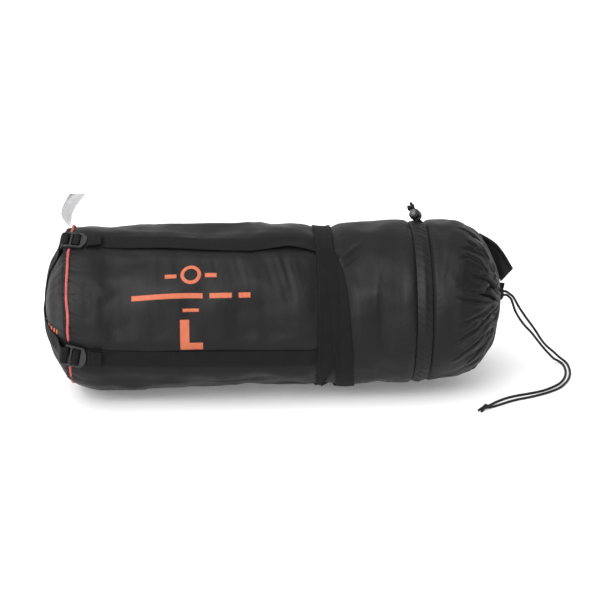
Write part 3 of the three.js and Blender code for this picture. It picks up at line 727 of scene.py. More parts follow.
def front_height(x, run, angle):
    from_base, from_girth = x - BASE_SEAM_X, GIRTH_X[0] - x
    cover = ease(from_base, 0, 0.03) * ease(from_girth, -0.004, 0.03)
    free = ease(across_strap(x, angle), 0.013, 0.024)
    round_folds = soft_folds(x, angle, 11, 0.026, 0.13)
    broad = soft_folds(x, angle, 19, 0.085, 0.075)
    along_folds = soft_folds(x * 0.3, angle, 31, 0.030, 0.024)
    low = hump(turned(angle, -60), 24) + hump(turned(angle, 120), 30) + 0.35
    pull_zone = hump(turned(angle, 46), 15) * ease(x, -0.17, -0.03) * ease(from_girth, 0, 0.03)
    pulls = soft_folds(x + turned(angle, 40) * 0.5 * MM, angle, 23, 0.014, 0.12)
    height = strap_pressure(x, angle, -0.275, 0.066)
    height = height + cover * (0.1 + 0.9 * free) * (1.5 * MM * (round_folds - 0.5) + 2.3 * MM * (broad - 0.5))
    height = height + cover * free * 1.3 * MM * low * (along_folds - 0.5)
    height = height + 2.0 * MM * (pulls - 0.4) * pull_zone * free
    beside_label = 1 - 0.85 * hump(turned(angle, LABEL_ANGLE), 9)
    height = height + 4.8 * MM * puckers(from_base, angle, 0.011, 6.4 * MM, 41) * beside_label
    girth_puckers = puckers(from_girth + 1 * MM, angle, 0.010, 9 * MM, 43)
    height = height + 1.3 * MM * girth_puckers * ease(from_girth, -0.01, 0.002)
    long_pucker = lobes(angle, 31, 47, 0.8) * np.exp(-np.maximum(from_base, 0) / 0.035)
    shoulder = hump(from_base - 0.020, 0.026) * hump(turned(angle, 96), 34)
    return height + (1.2 * MM * long_pucker + 3.0 * MM * shoulder) * beside_label


def rear_height(x, run, angle):
    from_girth, from_channel = x - GIRTH_X[1], CHANNEL_X[0] - x
    cover = ease(from_girth, 0, 0.03) * ease(from_channel, 0, 0.02)
    folds = soft_folds(x, angle, 61, 0.034, 0.12)
    slack = soft_folds(x * 0.5, angle + x * 60, 67, 0.03, 0.04) * hump(turned(angle, -50), 30)
    from_handle = x - 0.0885
    long_tug = hump(turned(angle, 53) - from_handle * 450, 3.2) * ease(x, 0.081, 0.087)
    long_tug = long_tug * (1 - ease(x, 0.098, 0.125))
    short_tug = hump(turned(angle, 47) - from_handle * 320, 2.4) * ease(x, 0.083, 0.088)
    short_tug = short_tug * (1 - ease(x, 0.098, 0.115))
    broad = soft_folds(x, angle, 65, 0.07, 0.08)
    height = cover * (1.5 * MM * (folds - 0.5) + 1.6 * MM * (slack - 0.5) + 2.4 * MM * (broad - 0.5))
    height = height + 3.4 * MM * long_tug + 2.4 * MM * short_tug
    girth_puckers = puckers(from_girth, angle, 0.011, 9 * MM, 71)
    height = height + 1.2 * MM * girth_puckers * ease(from_girth, -0.002, 0.006)
    channel_puckers = puckers(from_channel, angle, 0.012, 8 * MM, 73)
    return height + 1.3 * MM * channel_puckers * ease(from_channel, -0.002, 0.004)


# Deep creases that run to the mouth: their route as (station in millimetres, angle), and their depth in
# millimetres.
MOUTH_CREASES = [
    ([(250, 47), (261, 48), (279, 45), (292, 38)], 3.0), ([(262, 37), (271, 34), (284, 35)], 3.0),
    ([(272, 33), (282, 32), (293, 31), (308, 27)], 6.0), ([(271, 20), (281, 19), (292, 18), (312, 12)], 6.5),
    ([(261, 23), (270, 22), (284, 22)], 3.0), ([(244, 19), (262, 16), (281, 14), (292, 13)], 3.0),
    ([(297, 55), (303, 48), (306, 36), (312, 26)], 4.0), ([(262, 62), (272, 60), (286, 58), (303, 52)], 3.2),
    ([(252, 54), (266, 55), (285, 53)], 1.5), ([(246, 0), (268, 3), (290, 6), (304, 9)], 1.7),
    ([(278, -3), (297, 1), (309, 8)], 2.0), ([(236, -13), (258, -9), (284, -4)], 1.8),
    ([(240, -27), (262, -22), (292, -14)], 2.2), ([(262, -38), (284, -30), (306, -16)], 2.0),
    ([(256, 78), (276, 76), (300, 72)], 2.4), ([(250, 96), (274, 98), (304, 100)], 2.6),
    ([(246, 124), (276, 120), (306, 116)], 3.2), ([(258, 150), (282, 148), (308, 140)], 3.0),
    ([(244, 176), (270, 178), (306, 182)], 3.2), ([(252, 205), (280, 202), (308, 210)], 3.0),
    ([(262, 236), (286, 238), (308, 244)], 2.6), ([(270, 290), (290, 296), (308, 306)], 2.4),
]


def mouth_creases(x, radius, angle):
    """The creases' depth at each place, with a rounded fold along each side of them."""
    height = 0 * x * angle
    for route, depth in MOUTH_CREASES:
        stations, degrees = np.array(route, float).T
        middle = np.interp(x, stations * MM, degrees)
        inside = ease(x, (stations[0] - 5) * MM, (stations[0] + 9) * MM) * (
            1 - ease(x, (stations[-1] - 7) * MM, (stations[-1] + 5) * MM))
        distance = np.abs(turned(angle, middle)) * radius * TAU / 360
        profile = 0.4 * hump(distance - 5.5 * MM, 3.2 * MM) - hump(distance, 1.9 * MM)
        height = height + depth * MM * inside * profile
    return height


# Pleats drawn up at the mouth: how many go round, how much of the sway they follow, seed, sharpness, level of
# their valleys, depth as a share of their width, greatest depth, and the stations between which they grow.
PLEATS = [
    (15, 1.0, 87, 0.75, 0.62, 0.30, 6.5 * MM, (0.225, 0.300)),
    (31, 0.7, 89, 0.7, 0.62, 0.42, 5 * MM, (0.255, 0.309)),
    (52, 0.5, 93, 0.7, 0.6, 0.35, 2 * MM, (0.285, 0.314)),
]


def collar_height(x, run, angle):
    from_channel = x - CHANNEL_X[1]
    radius = np.interp(run, RUN, DENSE[:, 1])
    sway = 7 * noise(run / 0.045, angle / 30, 83, 12) + 4 * noise(run / 0.02, angle / 12, 85, 30)
    sway = sway * ease(radius, 0.02, 0.08)
    folds = soft_folds(x, angle, 91, 0.026, 0.10) * (1 - ease(x, 0.25, 0.3))
    long = soft_folds(run * 0.35, angle + (x - 0.25) * 200, 97, 0.03, 0.045) * ease(x, 0.215, 0.25) * (
        1 - ease(x, 0.29, 0.31))
    height = 1.8 * MM * (folds - 0.5) * ease(from_channel, 0, 0.02) + 2.2 * MM * (long - 0.5)
    height = height + mouth_creases(x, radius, angle)
    channel_puckers = puckers(from_channel, angle, 0.012, 8 * MM, 99)
    height = height + 1.3 * MM * channel_puckers * ease(from_channel, -0.002, 0.004)
    for count, followed, seed, sharp, level, share, deepest, grows in PLEATS:
        depth = np.minimum(share * TAU * radius / count, deepest)
        pleats = lobes(angle + sway * followed, count, seed, sharp) - level
        height = height + pleats * depth * ease(x, *grows)
    return height


def cap_height(x, run, angle):
    radius = np.interp(run, RUN, DENSE[:, 1])
    from_seam = BASE_SEAM_X - x
    edge = lobes(angle, 44, 101, 0.7) * np.exp(-from_seam / 0.012) * ease(radius, 0.02, 0.06)
    spokes = (lobes(angle, 17, 103, 0.9) - 0.6) * ease(radius, 0.015, 0.07) * np.exp(-from_seam / 0.03)
    swell = noise(run / 0.05, (angle % 360) / 60, 105, 6) * ease(radius, 0.02, 0.05)
    under_web = degrees_from_strap(angle) * radius * TAU / 360
    groove = 1 - ease(under_web, 0.012, 0.018)
    return (1.2 * MM * edge + 1.7 * MM * spokes + 1.2 * MM * swell) * (1 - groove) - 0.1 * MM * groove


def channel_height(x, run, angle):
    """A flat tunnel of cloth, drawn in at its two seams and creased on the slant by its cord."""
    across = (x - CHANNEL_X[0]) / (CHANNEL_X[1] - CHANNEL_X[0])
    arch = np.clip(4 * across * (1 - across), 0, 1) ** 0.45
    slant = lobes(angle + (across - 0.5) * 9, 58, 111, 0.8)
    near_slit = hump(turned(angle, 96), 32)
    creases = (slant - 0.6) * (0.45 + 1.6 * near_slit)
    edge = np.minimum(across, 1 - across) * (CHANNEL_X[1] - CHANNEL_X[0])
    tucks = (lobes(angle, 88, 113, 0.7) - 0.5) * np.exp(-edge / 0.003)
    cord_line = 0.9 * MM * hump(across - 0.5, 0.16)
    return 0.6 * MM + 2.9 * MM * arch + (1.5 * MM * creases + cord_line) * arch + 0.8 * MM * tucks


def vertices_of(obj):
    co = np.zeros(len(obj.data.vertices) * 3)
    obj.data.vertices.foreach_get("co", co)
    return co.reshape(-1, 3)


def lying_share(angle):
    """1 where the sack lies on the floor, 0 well away from it."""
    return 1 - ease(np.abs(turned(angle, -90)), 18, 30)


def held_front(x, angle):
    ends = 1 - ease(x - BASE_SEAM_X, 0.004, 0.016) * ease(GIRTH_X[0] - x, 0.0, 0.014)
    under_straps = 1 - ease(across_strap(x, angle), 0.012, 0.018)
    return np.maximum(ends, np.maximum(under_straps, lying_share(angle)) + 0 * x)


def held_rear(x, angle):
    ends = 1 - ease(x - GIRTH_X[1], 0.0, 0.012) * ease(CHANNEL_X[0] - x, 0.002, 0.012)
    return np.maximum(ends, lying_share(angle) + 0 * x)


def held_collar(x, angle):
    ends = 1 - ease(x - CHANNEL_X[1], 0.002, 0.012) * (1 - ease(x, 0.300, 0.314))
    return np.maximum(ends, lying_share(angle) * (1 - ease(x, 0.25, 0.27)))


def joint(name):
    """The frame's record of a joint."""
    return next(j for j in frame["joints"] if j["name"] == name)


def squeezed(obj):
    """Gives the piece its own copy of its mesh."""
    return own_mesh(obj)


CHANNEL_PLACE = (CHANNEL_X[0] + 0.2 * MM, CHANNEL_X[1] - 0.2 * MM)

front, FRONT_POINTS = panel("front_panel_cloth", BASE_SEAM_X, PANEL_SEAM_X, 1.9 * MM, front_height,
                            (0.012, held_front, 2.5 * MM))
rear, _ = panel("rear_panel_cloth", PANEL_SEAM_X + 0.3 * MM, 0.1925, 1.9 * MM, rear_height,
                (0.012, held_rear, 3 * MM))
collar, _ = panel("collar_cloth", 0.2075, 0.3213, 1.5 * MM, collar_height,
                  (0.016, held_collar, 3 * MM))
cap, _ = panel("end_cap_cloth", -0.32155, BASE_SEAM_X - 0.4 * MM, 1.6 * MM, cap_height)
channel, _ = panel("channel_cloth", *CHANNEL_PLACE, 0.9 * MM, channel_height)

finish_piece(front, BLACK_NYLON, "sack", ["front_panel"])
finish_piece(rear, BLACK_NYLON, "sack", ["rear_panel"])
finish_piece(collar, BLACK_NYLON, "sack", ["collar"])
# The end cap gets the darker copy of the nylon, as painted shade.
finish_piece(cap, SHADED_NYLON, "base_end", ["end_cap"])
finish_piece(channel, BLACK_NYLON, "sack", ["channel_band"])
squeezed(front)

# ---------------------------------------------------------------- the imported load

LOAD_INSET = 14 * MM
LOAD_ROWS, LOAD_COLUMNS = 60, 96


def load(name, x_from, x_to, node, seed):
    """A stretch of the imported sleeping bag: a soft, lumpy bolster inside the cloth."""
    angles = angles_round(LOAD_COLUMNS)[None, :]
    runs, x = stations_between(x_from, x_to, LOAD_ROWS)
    lumps = 3 * MM * noise(x / 0.05, (angles % 360) / 45, seed, 8)
    lumps = lumps + 2 * MM * noise(x / 0.02, (angles % 360) / 20, seed, 18)
    rim = hump(x - x_from, 0.012) + hump(x - x_to, 0.012)
    points = skin(runs, angles, -LOAD_INSET + lumps - 9 * MM * rim, bed=5 * MM)
    ends = []
    for row, shares in ((points[0], (0.02, 0.35, 0.75)), (points[-1], (0.75, 0.35, 0.02))):
        middle = row.mean(axis=0)
        ends.append([middle + (row - middle) * share for share in shares])
    points = np.concatenate([ends[0], points, ends[1]])
    shape = points.shape[:2]
    along, around = (np.arange(shape[0]) * 5 * MM)[:, None], np.radians(angles + 90) * RADIUS
    obj = mesh_object(name, points, tube_faces(*shape), uv_grid(along, around, shape))
    finish_piece(obj, LOAD_CLOTH, "sack", [node])
    return obj


squeezed(load("packed_load_front", -0.286, PANEL_SEAM_X - 1 * MM, "fill_front", 151))
load("packed_load_rear", PANEL_SEAM_X + 1 * MM, 0.306, "fill_rear", 153)

# ---------------------------------------------------------------- prints on the front panel

INK_PROUD = 0.35 * MM


def on_front(x, angle, lift):
    """Points on the front panel's cloth, lifted off it."""
    rows, columns = FRONT_POINTS.shape[:2]
    i = (run_at(x) - run_at(BASE_SEAM_X)) / (run_at(PANEL_SEAM_X) - run_at(BASE_SEAM_X)) * (rows - 1)
    j = ((angle + 90) % 360) / 360 * columns
    i0, j0 = np.floor(i).astype(int), np.floor(j).astype(int)
    fi, fj = (i - i0)[..., None], (j - j0)[..., None]
    corner = lambda di, dj: FRONT_POINTS[np.clip(i0 + di, 0, rows - 1), (j0 + dj) % columns]
    point = ((corner(0, 0) * (1 - fi) + corner(1, 0) * fi) * (1 - fj)
             + (corner(0, 1) * (1 - fi) + corner(1, 1) * fi) * fj)
    turn = np.radians(angle)
    out = np.stack([0 * turn, -np.cos(turn), np.sin(turn)], axis=-1)
    return point + out * lift


def on_cap(x, angle, lift):
    """Points on the end cap's cloth, lifted off it."""
    run = run_at(x)
    return skin(run, angle, cap_height(x, run, angle) + lift)


def printed(name, x, angle, wrap_rows=False, cloth=on_front):
    """A patch of ink over a grid of places (x, angle): a thin closed skin that lies on the cloth."""
    rows, columns = x.shape
    top, under = cloth(x, angle, INK_PROUD), cloth(x, angle, -0.1 * MM)
    loop = np.concatenate([top, under[:, ::-1]], axis=1)
    faces = grid_faces(rows, 2 * columns, wrap_rows=wrap_rows, wrap_columns=True).tolist()
    if not wrap_rows:
        for start, way in ((0, 1), ((rows - 1) * 2 * columns, -1)):
            ring = [[start + k, start + 2 * columns - 1 - k, start + 2 * columns - 2 - k, start + k + 1]
                    for k in range(columns - 1)]
            faces += [face[::way] for face in ring]
    u = np.concatenate([x, x[:, ::-1]], axis=1)
    v = np.radians(np.concatenate([angle, angle[:, ::-1]], axis=1)) * RADIUS
    obj = mesh_object(name, loop, faces, np.stack([u, v], axis=-1))
    if cloth is on_cap:
        return finish_piece(obj, ORANGE_INK, "base_end")
    finish_piece(obj, ORANGE_INK, "sack")
    return squeezed(obj)


def printed_bar(name, x_from, x_to, low, high, step=1.2 * MM, cloth=on_front):
    """A straight bar between two stations and two angles."""
    x = np.linspace(x_from, x_to, max(3, round((x_to - x_from) / step)))
    angle = np.linspace(low, high, max(3, round(math.radians(high - low) * RADIUS / step)))
    printed(name, *np.meshgrid(x, angle, indexing="ij"), cloth=cloth)


def printed_ring(name, x_middle, angle_middle, outer, inner):
    turn = np.linspace(0, TAU, 96, endpoint=False)[:, None]
    radius = np.linspace(outer, inner, 6)[None, :]
    x = x_middle + radius * np.cos(turn)
    angle = angle_middle + np.degrees(radius * np.sin(turn) / RADIUS)
    printed(name, x, angle, wrap_rows=True)


LETTER_LEFT, LETTER_STEM, LETTER_RIGHT = -0.1324, -0.1199, -0.1019
LETTER_FOOT, LETTER_FOOT_TOP, LETTER_TOP = -9.8, -4.7, 10.6


def printed_letter():
    """The size letter L. Its rows run down the stem and along the foot, from edge to edge of the letter."""
    outer = [(LETTER_LEFT, LETTER_TOP), (LETTER_LEFT, LETTER_FOOT), (LETTER_RIGHT, LETTER_FOOT)]
    inner = [(LETTER_STEM, LETTER_TOP), (LETTER_STEM, LETTER_FOOT_TOP), (LETTER_RIGHT, LETTER_FOOT_TOP)]
    along = np.linspace(0, 2, 61)
    outer, inner = (np.stack([np.interp(along, range(3), column) for column in zip(*edge)], axis=1)
                    for edge in (outer, inner))
    share = np.linspace(0, 1, 11)[None, :, None]
    place = outer[:, None] * (1 - share) + inner[:, None] * share
    printed("print_letter", place[..., 0], place[..., 1])


# Stations of the four dashes on the end cap.
CAP_MARKS = [(-0.3150, -0.3125), (-0.3105, -0.3080), (-0.3060, -0.3038), (-0.3020, -0.3000)]
CAP_MARK_ANGLES = (-6.5, -2.5)


def prints():
    """A plain ring between two dashes, a broken line, a short dash and a size letter L."""
    printed_ring("print_ring", -0.117, 40.8, 14 * MM, 9 * MM)
    printed_bar("print_dash_left", -0.152, -0.136, 38.5, 41.5)
    printed_bar("print_dash_right", -0.098, -0.082, 38.5, 41.5)
    for k, (x_from, x_to) in enumerate(((-0.197, -0.101), (-0.092, -0.062), (-0.053, -0.037)), 1):
        printed_bar(f"print_line_{k}", x_from, x_to, 24.4, 27.9)
    printed_bar("print_short_dash", -0.1285, -0.1064, 15.6, 17.8)
    printed_letter()
    for k, (x_from, x_to) in enumerate(CAP_MARKS, 1):
        printed_bar(f"print_cap_mark_{k}", x_from, x_to, *CAP_MARK_ANGLES, cloth=on_cap)


prints()

# ---------------------------------------------------------------- webbing

WEBBING_WIDTH = 25 * MM
WEBBING_THICK = 1.5 * MM
TAIL_THICK = 1.2 * MM
STRAP_STEP = 3 * MM


def section(width, thick, flat_points=11):
    """Outline of flat webbing with round selvages: (across, height) points that run round it once."""
    half, radius = (width - thick) / 2, thick / 2
    flat = np.linspace(-half, half, flat_points)
    turn = np.radians([60, 20, -20, -60])
    top = np.stack([flat, np.full(flat_points, radius)], axis=1)
    right = np.stack([half + radius * np.cos(turn), radius * np.sin(turn)], axis=1)
    return np.concatenate([top, right, -top, -right])


def strip(name, place, run, width, thick, closed=False, grow=None):
    """Webbing whose point at (row, across, height) is given by place. grow scales its thickness along it."""
    outline = section(width, thick)
    rows = np.arange(len(run))
    scale = np.ones(len(run)) if grow is None else grow
    heights = outline[None, :, 1] * scale[:, None]
    points = place(rows[:, None], outline[None, :, 0], heights)
    shape = points.shape[:2]
    uvs = uv_grid(outline[None, :, 0], run[:, None], shape)
    return mesh_object(name, points, tube_faces(*shape, closed), uvs)


def ribbon(name, path, across, width, thick, cup=0.0, grow=None):
    """Webbing along a path of points, with the direction of its width at each."""
    tangent = unit(np.gradient(path, axis=0))
    across = unit(across - tangent * (across * tangent).sum(axis=1, keepdims=True))
    normal = np.cross(tangent, across)

    def place(row, a, h):
        bow = cup * (1 - (2 * a / width) ** 2)
        return path[row] + across[row] * a[..., None] + normal[row] * (h + bow)[..., None]

    return strip(name, place, lengths_along(path), width, thick, grow=grow)


# A stitch from end to end: the place along it, its thickness, and its height off the cloth.
STITCH = np.array([(0, 0.25, -0.5), (0.12, 0.8, 0), (0.5, 1, 0.35), (0.88, 0.8, 0), (1, 0.25, -0.5)])
STITCH_SIDES = 6
STITCH_SINK = 0.1 * MM


def stitches(name, path, normals, body, pitch=3.6 * MM, length=2.5 * MM, radius=0.3 * MM):
    """A row of thread stitches along a path that lies on cloth."""
    run = lengths_along(path)
    starts = np.arange(pitch / 2, run[-1] - length, pitch)
    at = (starts[:, None] + length * STITCH[None, :, 0]).ravel()
    centre, normal, tangent = (
        np.stack([np.interp(at, run, values[:, k]) for k in range(3)], axis=1)
        for values in (path, normals, unit(np.gradient(path, axis=0))))
    normal = unit(normal)
    side = unit(np.cross(tangent, normal))
    size, rise = (np.tile(STITCH[:, k], len(starts)) * radius for k in (1, 2))
    centre = centre + normal * (rise + radius - STITCH_SINK)[:, None]
    rings = rings_round(centre, size, side, normal, STITCH_SIDES)
    one = tube_faces(len(STITCH), STITCH_SIDES)
    faces = [[i + k * len(STITCH) * STITCH_SIDES for i in face] for k in range(len(starts)) for face in one]
    turns = np.linspace(0, TAU, STITCH_SIDES, endpoint=False)
    obj = mesh_object(name, rings, faces, uv_grid(turns / TAU * 0.012, at[:, None], rings.shape[:2]))
    return finish_piece(obj, THREAD, body)


def on_skin(x, angle, lift, bed=0.0):
    """Points on the stuffed shape at these stations, with the outward direction at each."""
    run = run_at(x)
    low, high = skin(run, angle, lift, bed), skin(run, angle, lift + 1 * MM, bed)
    return low, unit(high - low)


STRAP_START = -0.2755


def compression_strap(number):
    """The run of a strap, from under its ladder lock to under the girth band."""
    x = np.arange(STRAP_START, 0.0655, STRAP_STEP)
    middle = ease(x, -0.235, -0.16)
    angle = strap_angle_at(number, x)
    lift = 1.25 * MM + 0.5 * MM * noise(x / 0.05, number, 201) * middle * (1 - ease(x, 0.03, 0.05))
    edge_lift = np.zeros(len(x))
    if number == 1:  # its lower edge stands off the cloth, most of all just before the girth band
        edge_lift = 1.6 * MM * middle + 3.2 * MM * hump(x - 0.018, 0.024)

    def place(row, a, h):
        curl = edge_lift[row] * np.clip(0.4 - a / WEBBING_WIDTH, 0, 1) ** 2
        return skin(run_at(x[row]), angle[row] + np.degrees(a / RADIUS), lift[row] + h + curl)

    obj = strip(f"strap_{number}_run", place, x - x[0], WEBBING_WIDTH, WEBBING_THICK)
    finish_webbing(obj, "sack", f"strap_{number}")
    return squeezed(obj)


for number in (1, 2, 3, 4):
    compression_strap(number)


def girth_fold(angle):
    """How far the band's right edge is folded back, from 0 to 1: low on the front, beside the handle."""
    return ease(-turned(angle, 0), 22, 50) * (1 - ease(-turned(angle, 0), 78, 96))


GIRTH_MIDDLE = sum(GIRTH_X) / 2
FOLD_BACK = 15 * MM
GIRTH_COLUMNS = 300


def girth_band():
    angles = np.arange(GIRTH_COLUMNS) * 360 / GIRTH_COLUMNS - 180.0

    def place(row, a, h):
        angle = angles[row]
        folded = girth_fold(angle)
        right_half = np.clip(2 * a / WEBBING_WIDTH, 0, 1)
        x = GIRTH_MIDDLE + 0.6 * MM * noise(angle / 24, 0.0, 211, 15) + a - FOLD_BACK * folded * right_half
        ripple = 0.35 * MM * noise(angle / 9, a / 0.02, 213, 40)
        roll = 1.6 * MM * folded * right_half ** 2
        return skin(run_at(x), angle, 3.2 * MM + h + ripple + roll, bed=1.0 * MM)

    run = np.radians(angles + 180) * RADIUS
    obj = strip("girth_webbing", place, run, WEBBING_WIDTH, WEBBING_THICK, closed=True)
    finish_webbing(obj, "sack", "girth_band")
    edge_angles = np.linspace(-40, 320, 700)
    for name, side in (("left", -1), ("right", 1)):
        drawn_in = 0.78 * FOLD_BACK * girth_fold(edge_angles) * (side > 0)
        seam, up = on_skin(GIRTH_MIDDLE + side * 9.8 * MM - drawn_in, edge_angles, 4.15 * MM, 1 * MM)
        stitches(f"girth_stitching_{name}", seam, up, "sack")


girth_band()

# Angle on the sack and the handle's left and right edges, in millimetres along the sack.
HANDLE_STOPS = [
    (61, 75, 77.5), (56, 69.5, 82), (47, 68, 88), (38, 68, 91.5), (29, 68.7, 93.7), (14, 71.5, 96.5),
    (-1, 74.3, 99.3), (-17, 77, 102), (-33, 79.5, 104.5), (-48, 81.9, 106.9), (-62, 84, 109),
    (-76, 84.5, 109.5), (-90, 82.5, 107.5), (-106, 79.2, 98), (-111.5, 77, 88),
]


def carry_handle():
    stops = smooth_path(np.array(HANDLE_STOPS, float), 1.5)
    angle, left, right = stops[:, 0], stops[:, 1] * MM, stops[:, 2] * MM

    def place(row, a, h):
        share = a / WEBBING_WIDTH + 0.5
        x = left[row] + (right[row] - left[row]) * share
        over_girth = 2.6 * MM * (1 - ease(x, 0.0790, 0.0865))
        lift = 2.2 * MM + over_girth + 0.5 * MM * noise(angle[row] / 12, a / 0.015, 221)
        return skin(run_at(x), angle[row], lift + h, bed=0.9 * MM)

    run = np.radians(stops[0, 0] - angle) * RADIUS
    obj = strip("carry_handle_webbing", place, run, WEBBING_WIDTH, WEBBING_THICK)
    return finish_webbing(obj, "sack", "carry_handle")


carry_handle()

# ---------------------------------------------------------------- ladder locks, tails and base webbing

def applied(obj, kind, **settings):
    """Adds a modifier, applies it, and removes it."""
    modifier = obj.modifiers.new(kind.lower(), kind)
    for key, value in settings.items():
        setattr(modifier, key, value)
    depsgraph = bpy.context.evaluated_depsgraph_get()
    fresh = bpy.data.meshes.new_from_object(obj.evaluated_get(depsgraph))
    obj.modifiers.clear()
    old, obj.data = obj.data, fresh
    bpy.data.meshes.remove(old)
    return obj


def softened_copy(name, node, voxel, rounds):
    """A finely meshed copy of a CAD piece with its edges rounded, as a mould leaves them."""
    copy = bpy.data.objects.new(name, frame["nodes"][node].data.copy())
    bpy.context.scene.collection.objects.link(copy)
    applied(copy, "REMESH", mode="VOXEL", voxel_size=voxel)
    applied(copy, "SMOOTH", factor=0.6, iterations=rounds)
    copy.data.polygons.foreach_set("use_smooth", [True] * len(copy.data.polygons))
    return copy


def lock_frame(number):
    """The ladder lock's own frame: hinge bar, direction to its tab, along the bar, and outward."""
    tilt = joint(f"lock_{number}_tilt")
    origin, v = np.array(tilt["pos_m"]), -np.array(tilt["axis"])
    u = vertices_of(frame["nodes"][f"ladder_lock_{number}"]).mean(axis=0) - origin
    u = u - v * u.dot(v)
    u = u / np.linalg.norm(u)
    return origin, u, v, np.cross(u, v)


def directions_at(angle):
    """Outward from the sack's middle line at an angle, and round the sack there."""
    turn = math.radians(angle)
    return np.array([0, -math.cos(turn), math.sin(turn)]), np.array([0, math.sin(turn), math.cos(turn)])


def ladder_lock(number):
    """Rounded bars, a thicker rim at the sides, and a thumb tab that curls up with three grip ribs."""
    origin, u, v, w = lock_frame(number)
    obj = softened_copy(f"ladder_lock_{number}_moulding", f"ladder_lock_{number}", 0.42 * MM, 5)
    co = vertices_of(obj) - origin
    a, b, c = co @ u, co @ v, co @ w
    side = ease(np.abs(b), 13.4 * MM, 14.4 * MM)
    tab = ease(a, 20.5 * MM, 26 * MM)
    c = c * (1 + 0.28 * side * (1 - tab)) * (1 - 0.25 * tab)
    c = c + 2.6 * MM * np.clip((a - 21 * MM) / (8.5 * MM), 0, 1.1) ** 2
    ribs = np.maximum(np.cos((a - 24.6 * MM) / (1.7 * MM) * TAU), 0) * hump(a - 25.4 * MM, 2.6 * MM) * (c > 0)
    c = c + 0.4 * MM * ribs * (1 - ease(np.abs(b), 7 * MM, 9 * MM)) * ease(a, 21.5 * MM, 22.5 * MM)
    co = origin + a[:, None] * u + b[:, None] * v + c[:, None] * w
    obj.data.vertices.foreach_set("co", co.ravel())
    obj.data.update()
    return finish_piece(obj, LOCK_PLASTIC, f"lock_{number}", [f"ladder_lock_{number}"])


# Along the lock's plate, in millimetres from the hinge bar and outward: the strap's free end threads up
# through the middle slot, over a bar, down through the last slot and out under the tab.
THREADED = [
    (10.9, -2.2), (10.9, 0.6), (11.6, 2.3), (12.8, 2.9), (14.5, 3.0), (16.2, 2.9), (17.4, 2.3), (18.1, 0.8),
    (18.2, -0.8), (18.9, -1.9), (20.6, -2.3), (27.5, -2.1),
]
# The tail's last points, on the strap's run: station, and height off the stuffed shape.
TAIL_REST_X = np.array([-0.2555, -0.249, -0.244, -0.239])
TAIL_LIFTS = np.array([5.0, 5.5, 6.0, 6.3]) * MM
HEM_LENGTH = 13 * MM


def strap_tail(number, angle):
    origin, u, v, w = lock_frame(number)
    plate = [origin + u * a * MM + w * c * MM for a, c in THREADED]
    rest, outward = on_skin(TAIL_REST_X, angle, TAIL_LIFTS)
    path = smooth_path(np.vstack([plate, rest]), 0.8 * MM)
    run = lengths_along(path)
    _, along_round = directions_at(angle)
    share = ease(path[:, 0], -0.262, -0.245)[:, None]
    across = v * (1 - share) + along_round * share
    hem = ease(run, run[-1] - HEM_LENGTH, run[-1] - HEM_LENGTH + 1 * MM)
    rounded = 1 - 0.5 * ease(run, run[-1] - 1.2 * MM, run[-1])
    path = path + outward[-1] * (0.5 * MM * hem)[:, None]
    obj = ribbon(f"strap_{number}_tail_webbing", path, across, WEBBING_WIDTH - 0.4 * MM, TAIL_THICK,
                 cup=0.5 * MM, grow=(1 + 0.8 * hem) * rounded)
    finish_webbing(obj, f"lock_{number}", f"strap_{number}_tail")
    bow = np.linspace(-1, 1, 25)
    rise = 0.5 * MM * (1 - bow ** 2) + 1.1 * MM
    for k, into_hem in enumerate((3 * MM, 4.6 * MM), 1):
        at = path[np.argmin(np.abs(run - (run[-1] - HEM_LENGTH + into_hem)))]
        line = at + along_round * (bow * 11 * MM)[:, None] + outward[-1] * rise[:, None]
        stitches(f"strap_{number}_hem_stitching_{k}", line, np.tile(outward[-1], (len(bow), 1)),
                 f"lock_{number}", pitch=2.9 * MM, length=2.1 * MM, radius=0.27 * MM)


LOOP_RADIUS = 2.9 * MM
# The base webbing from the piping to the base's middle: station, and height off the stuffed shape.
WEB_STATIONS = [-0.2952, -0.2985, -0.302, -0.3065, -0.311, -0.315, -0.318, -0.3199, -0.3208, -0.3213]
WEB_LIFTS = np.array([3.2, 1.7, 1.1, 0.9, 0.9, 0.9, 0.9, 0.9, 0.9, 0.9]) * MM


def web_half(number, angle, crossing):
    """Half of the webbing over the base, from its loop round the hinge bar to the middle.

    crossing is 1 for the webbing that lies over the other one, and 0 for the one below.
    """
    origin, u, v, w = lock_frame(number)
    turns = np.radians([-150, -120, -80, -40, 0, 40, 80, 105])
    loop = [origin + LOOP_RADIUS * (u * math.cos(t) + w * math.sin(t)) for t in turns]
    out, along_round = directions_at(angle)
    middle = np.array([0, 0, OUTLINE[0, 2]])
    reach = (origin - middle)[1:] @ out[1:]
    over = [middle + out * (reach + rise) + np.array([x, 0, 0])
            for x, rise in ((-0.2926, 2 * MM), (-0.2953, -3.5 * MM))]
    lifts = WEB_LIFTS + 1.7 * MM * crossing * np.linspace(0, 1, len(WEB_STATIONS)) ** 3
    dome, _ = on_skin(np.array(WEB_STATIONS), angle, lifts)
    points = np.vstack([loop, over, dome])
    widths = np.vstack([np.tile(v, (len(loop) + 1, 1)), np.tile(along_round, (len(dome) + 1, 1))])
    return points, widths


def base_webbing(name, near, far, crossing, node):
    a, a_width = web_half(near, STRAP_ANGLES[near - 1], crossing)
    b, b_width = web_half(far, STRAP_ANGLES[far - 1], crossing)
    joined = np.hstack([np.vstack([a, b[::-1]]), np.vstack([a_width, -b_width[::-1]])])
    fine = smooth_path(joined[:, :3], 1.5 * MM)
    nearest = np.array([np.argmin(((joined[:, :3] - p) ** 2).sum(axis=1)) for p in fine])
    across = np.array([joined[max(0, k - 1): k + 2, 3:].mean(axis=0) for k in nearest])
    obj = ribbon(name, fine, across, WEBBING_WIDTH, WEBBING_THICK)
    return finish_webbing(obj, "base_end", node)


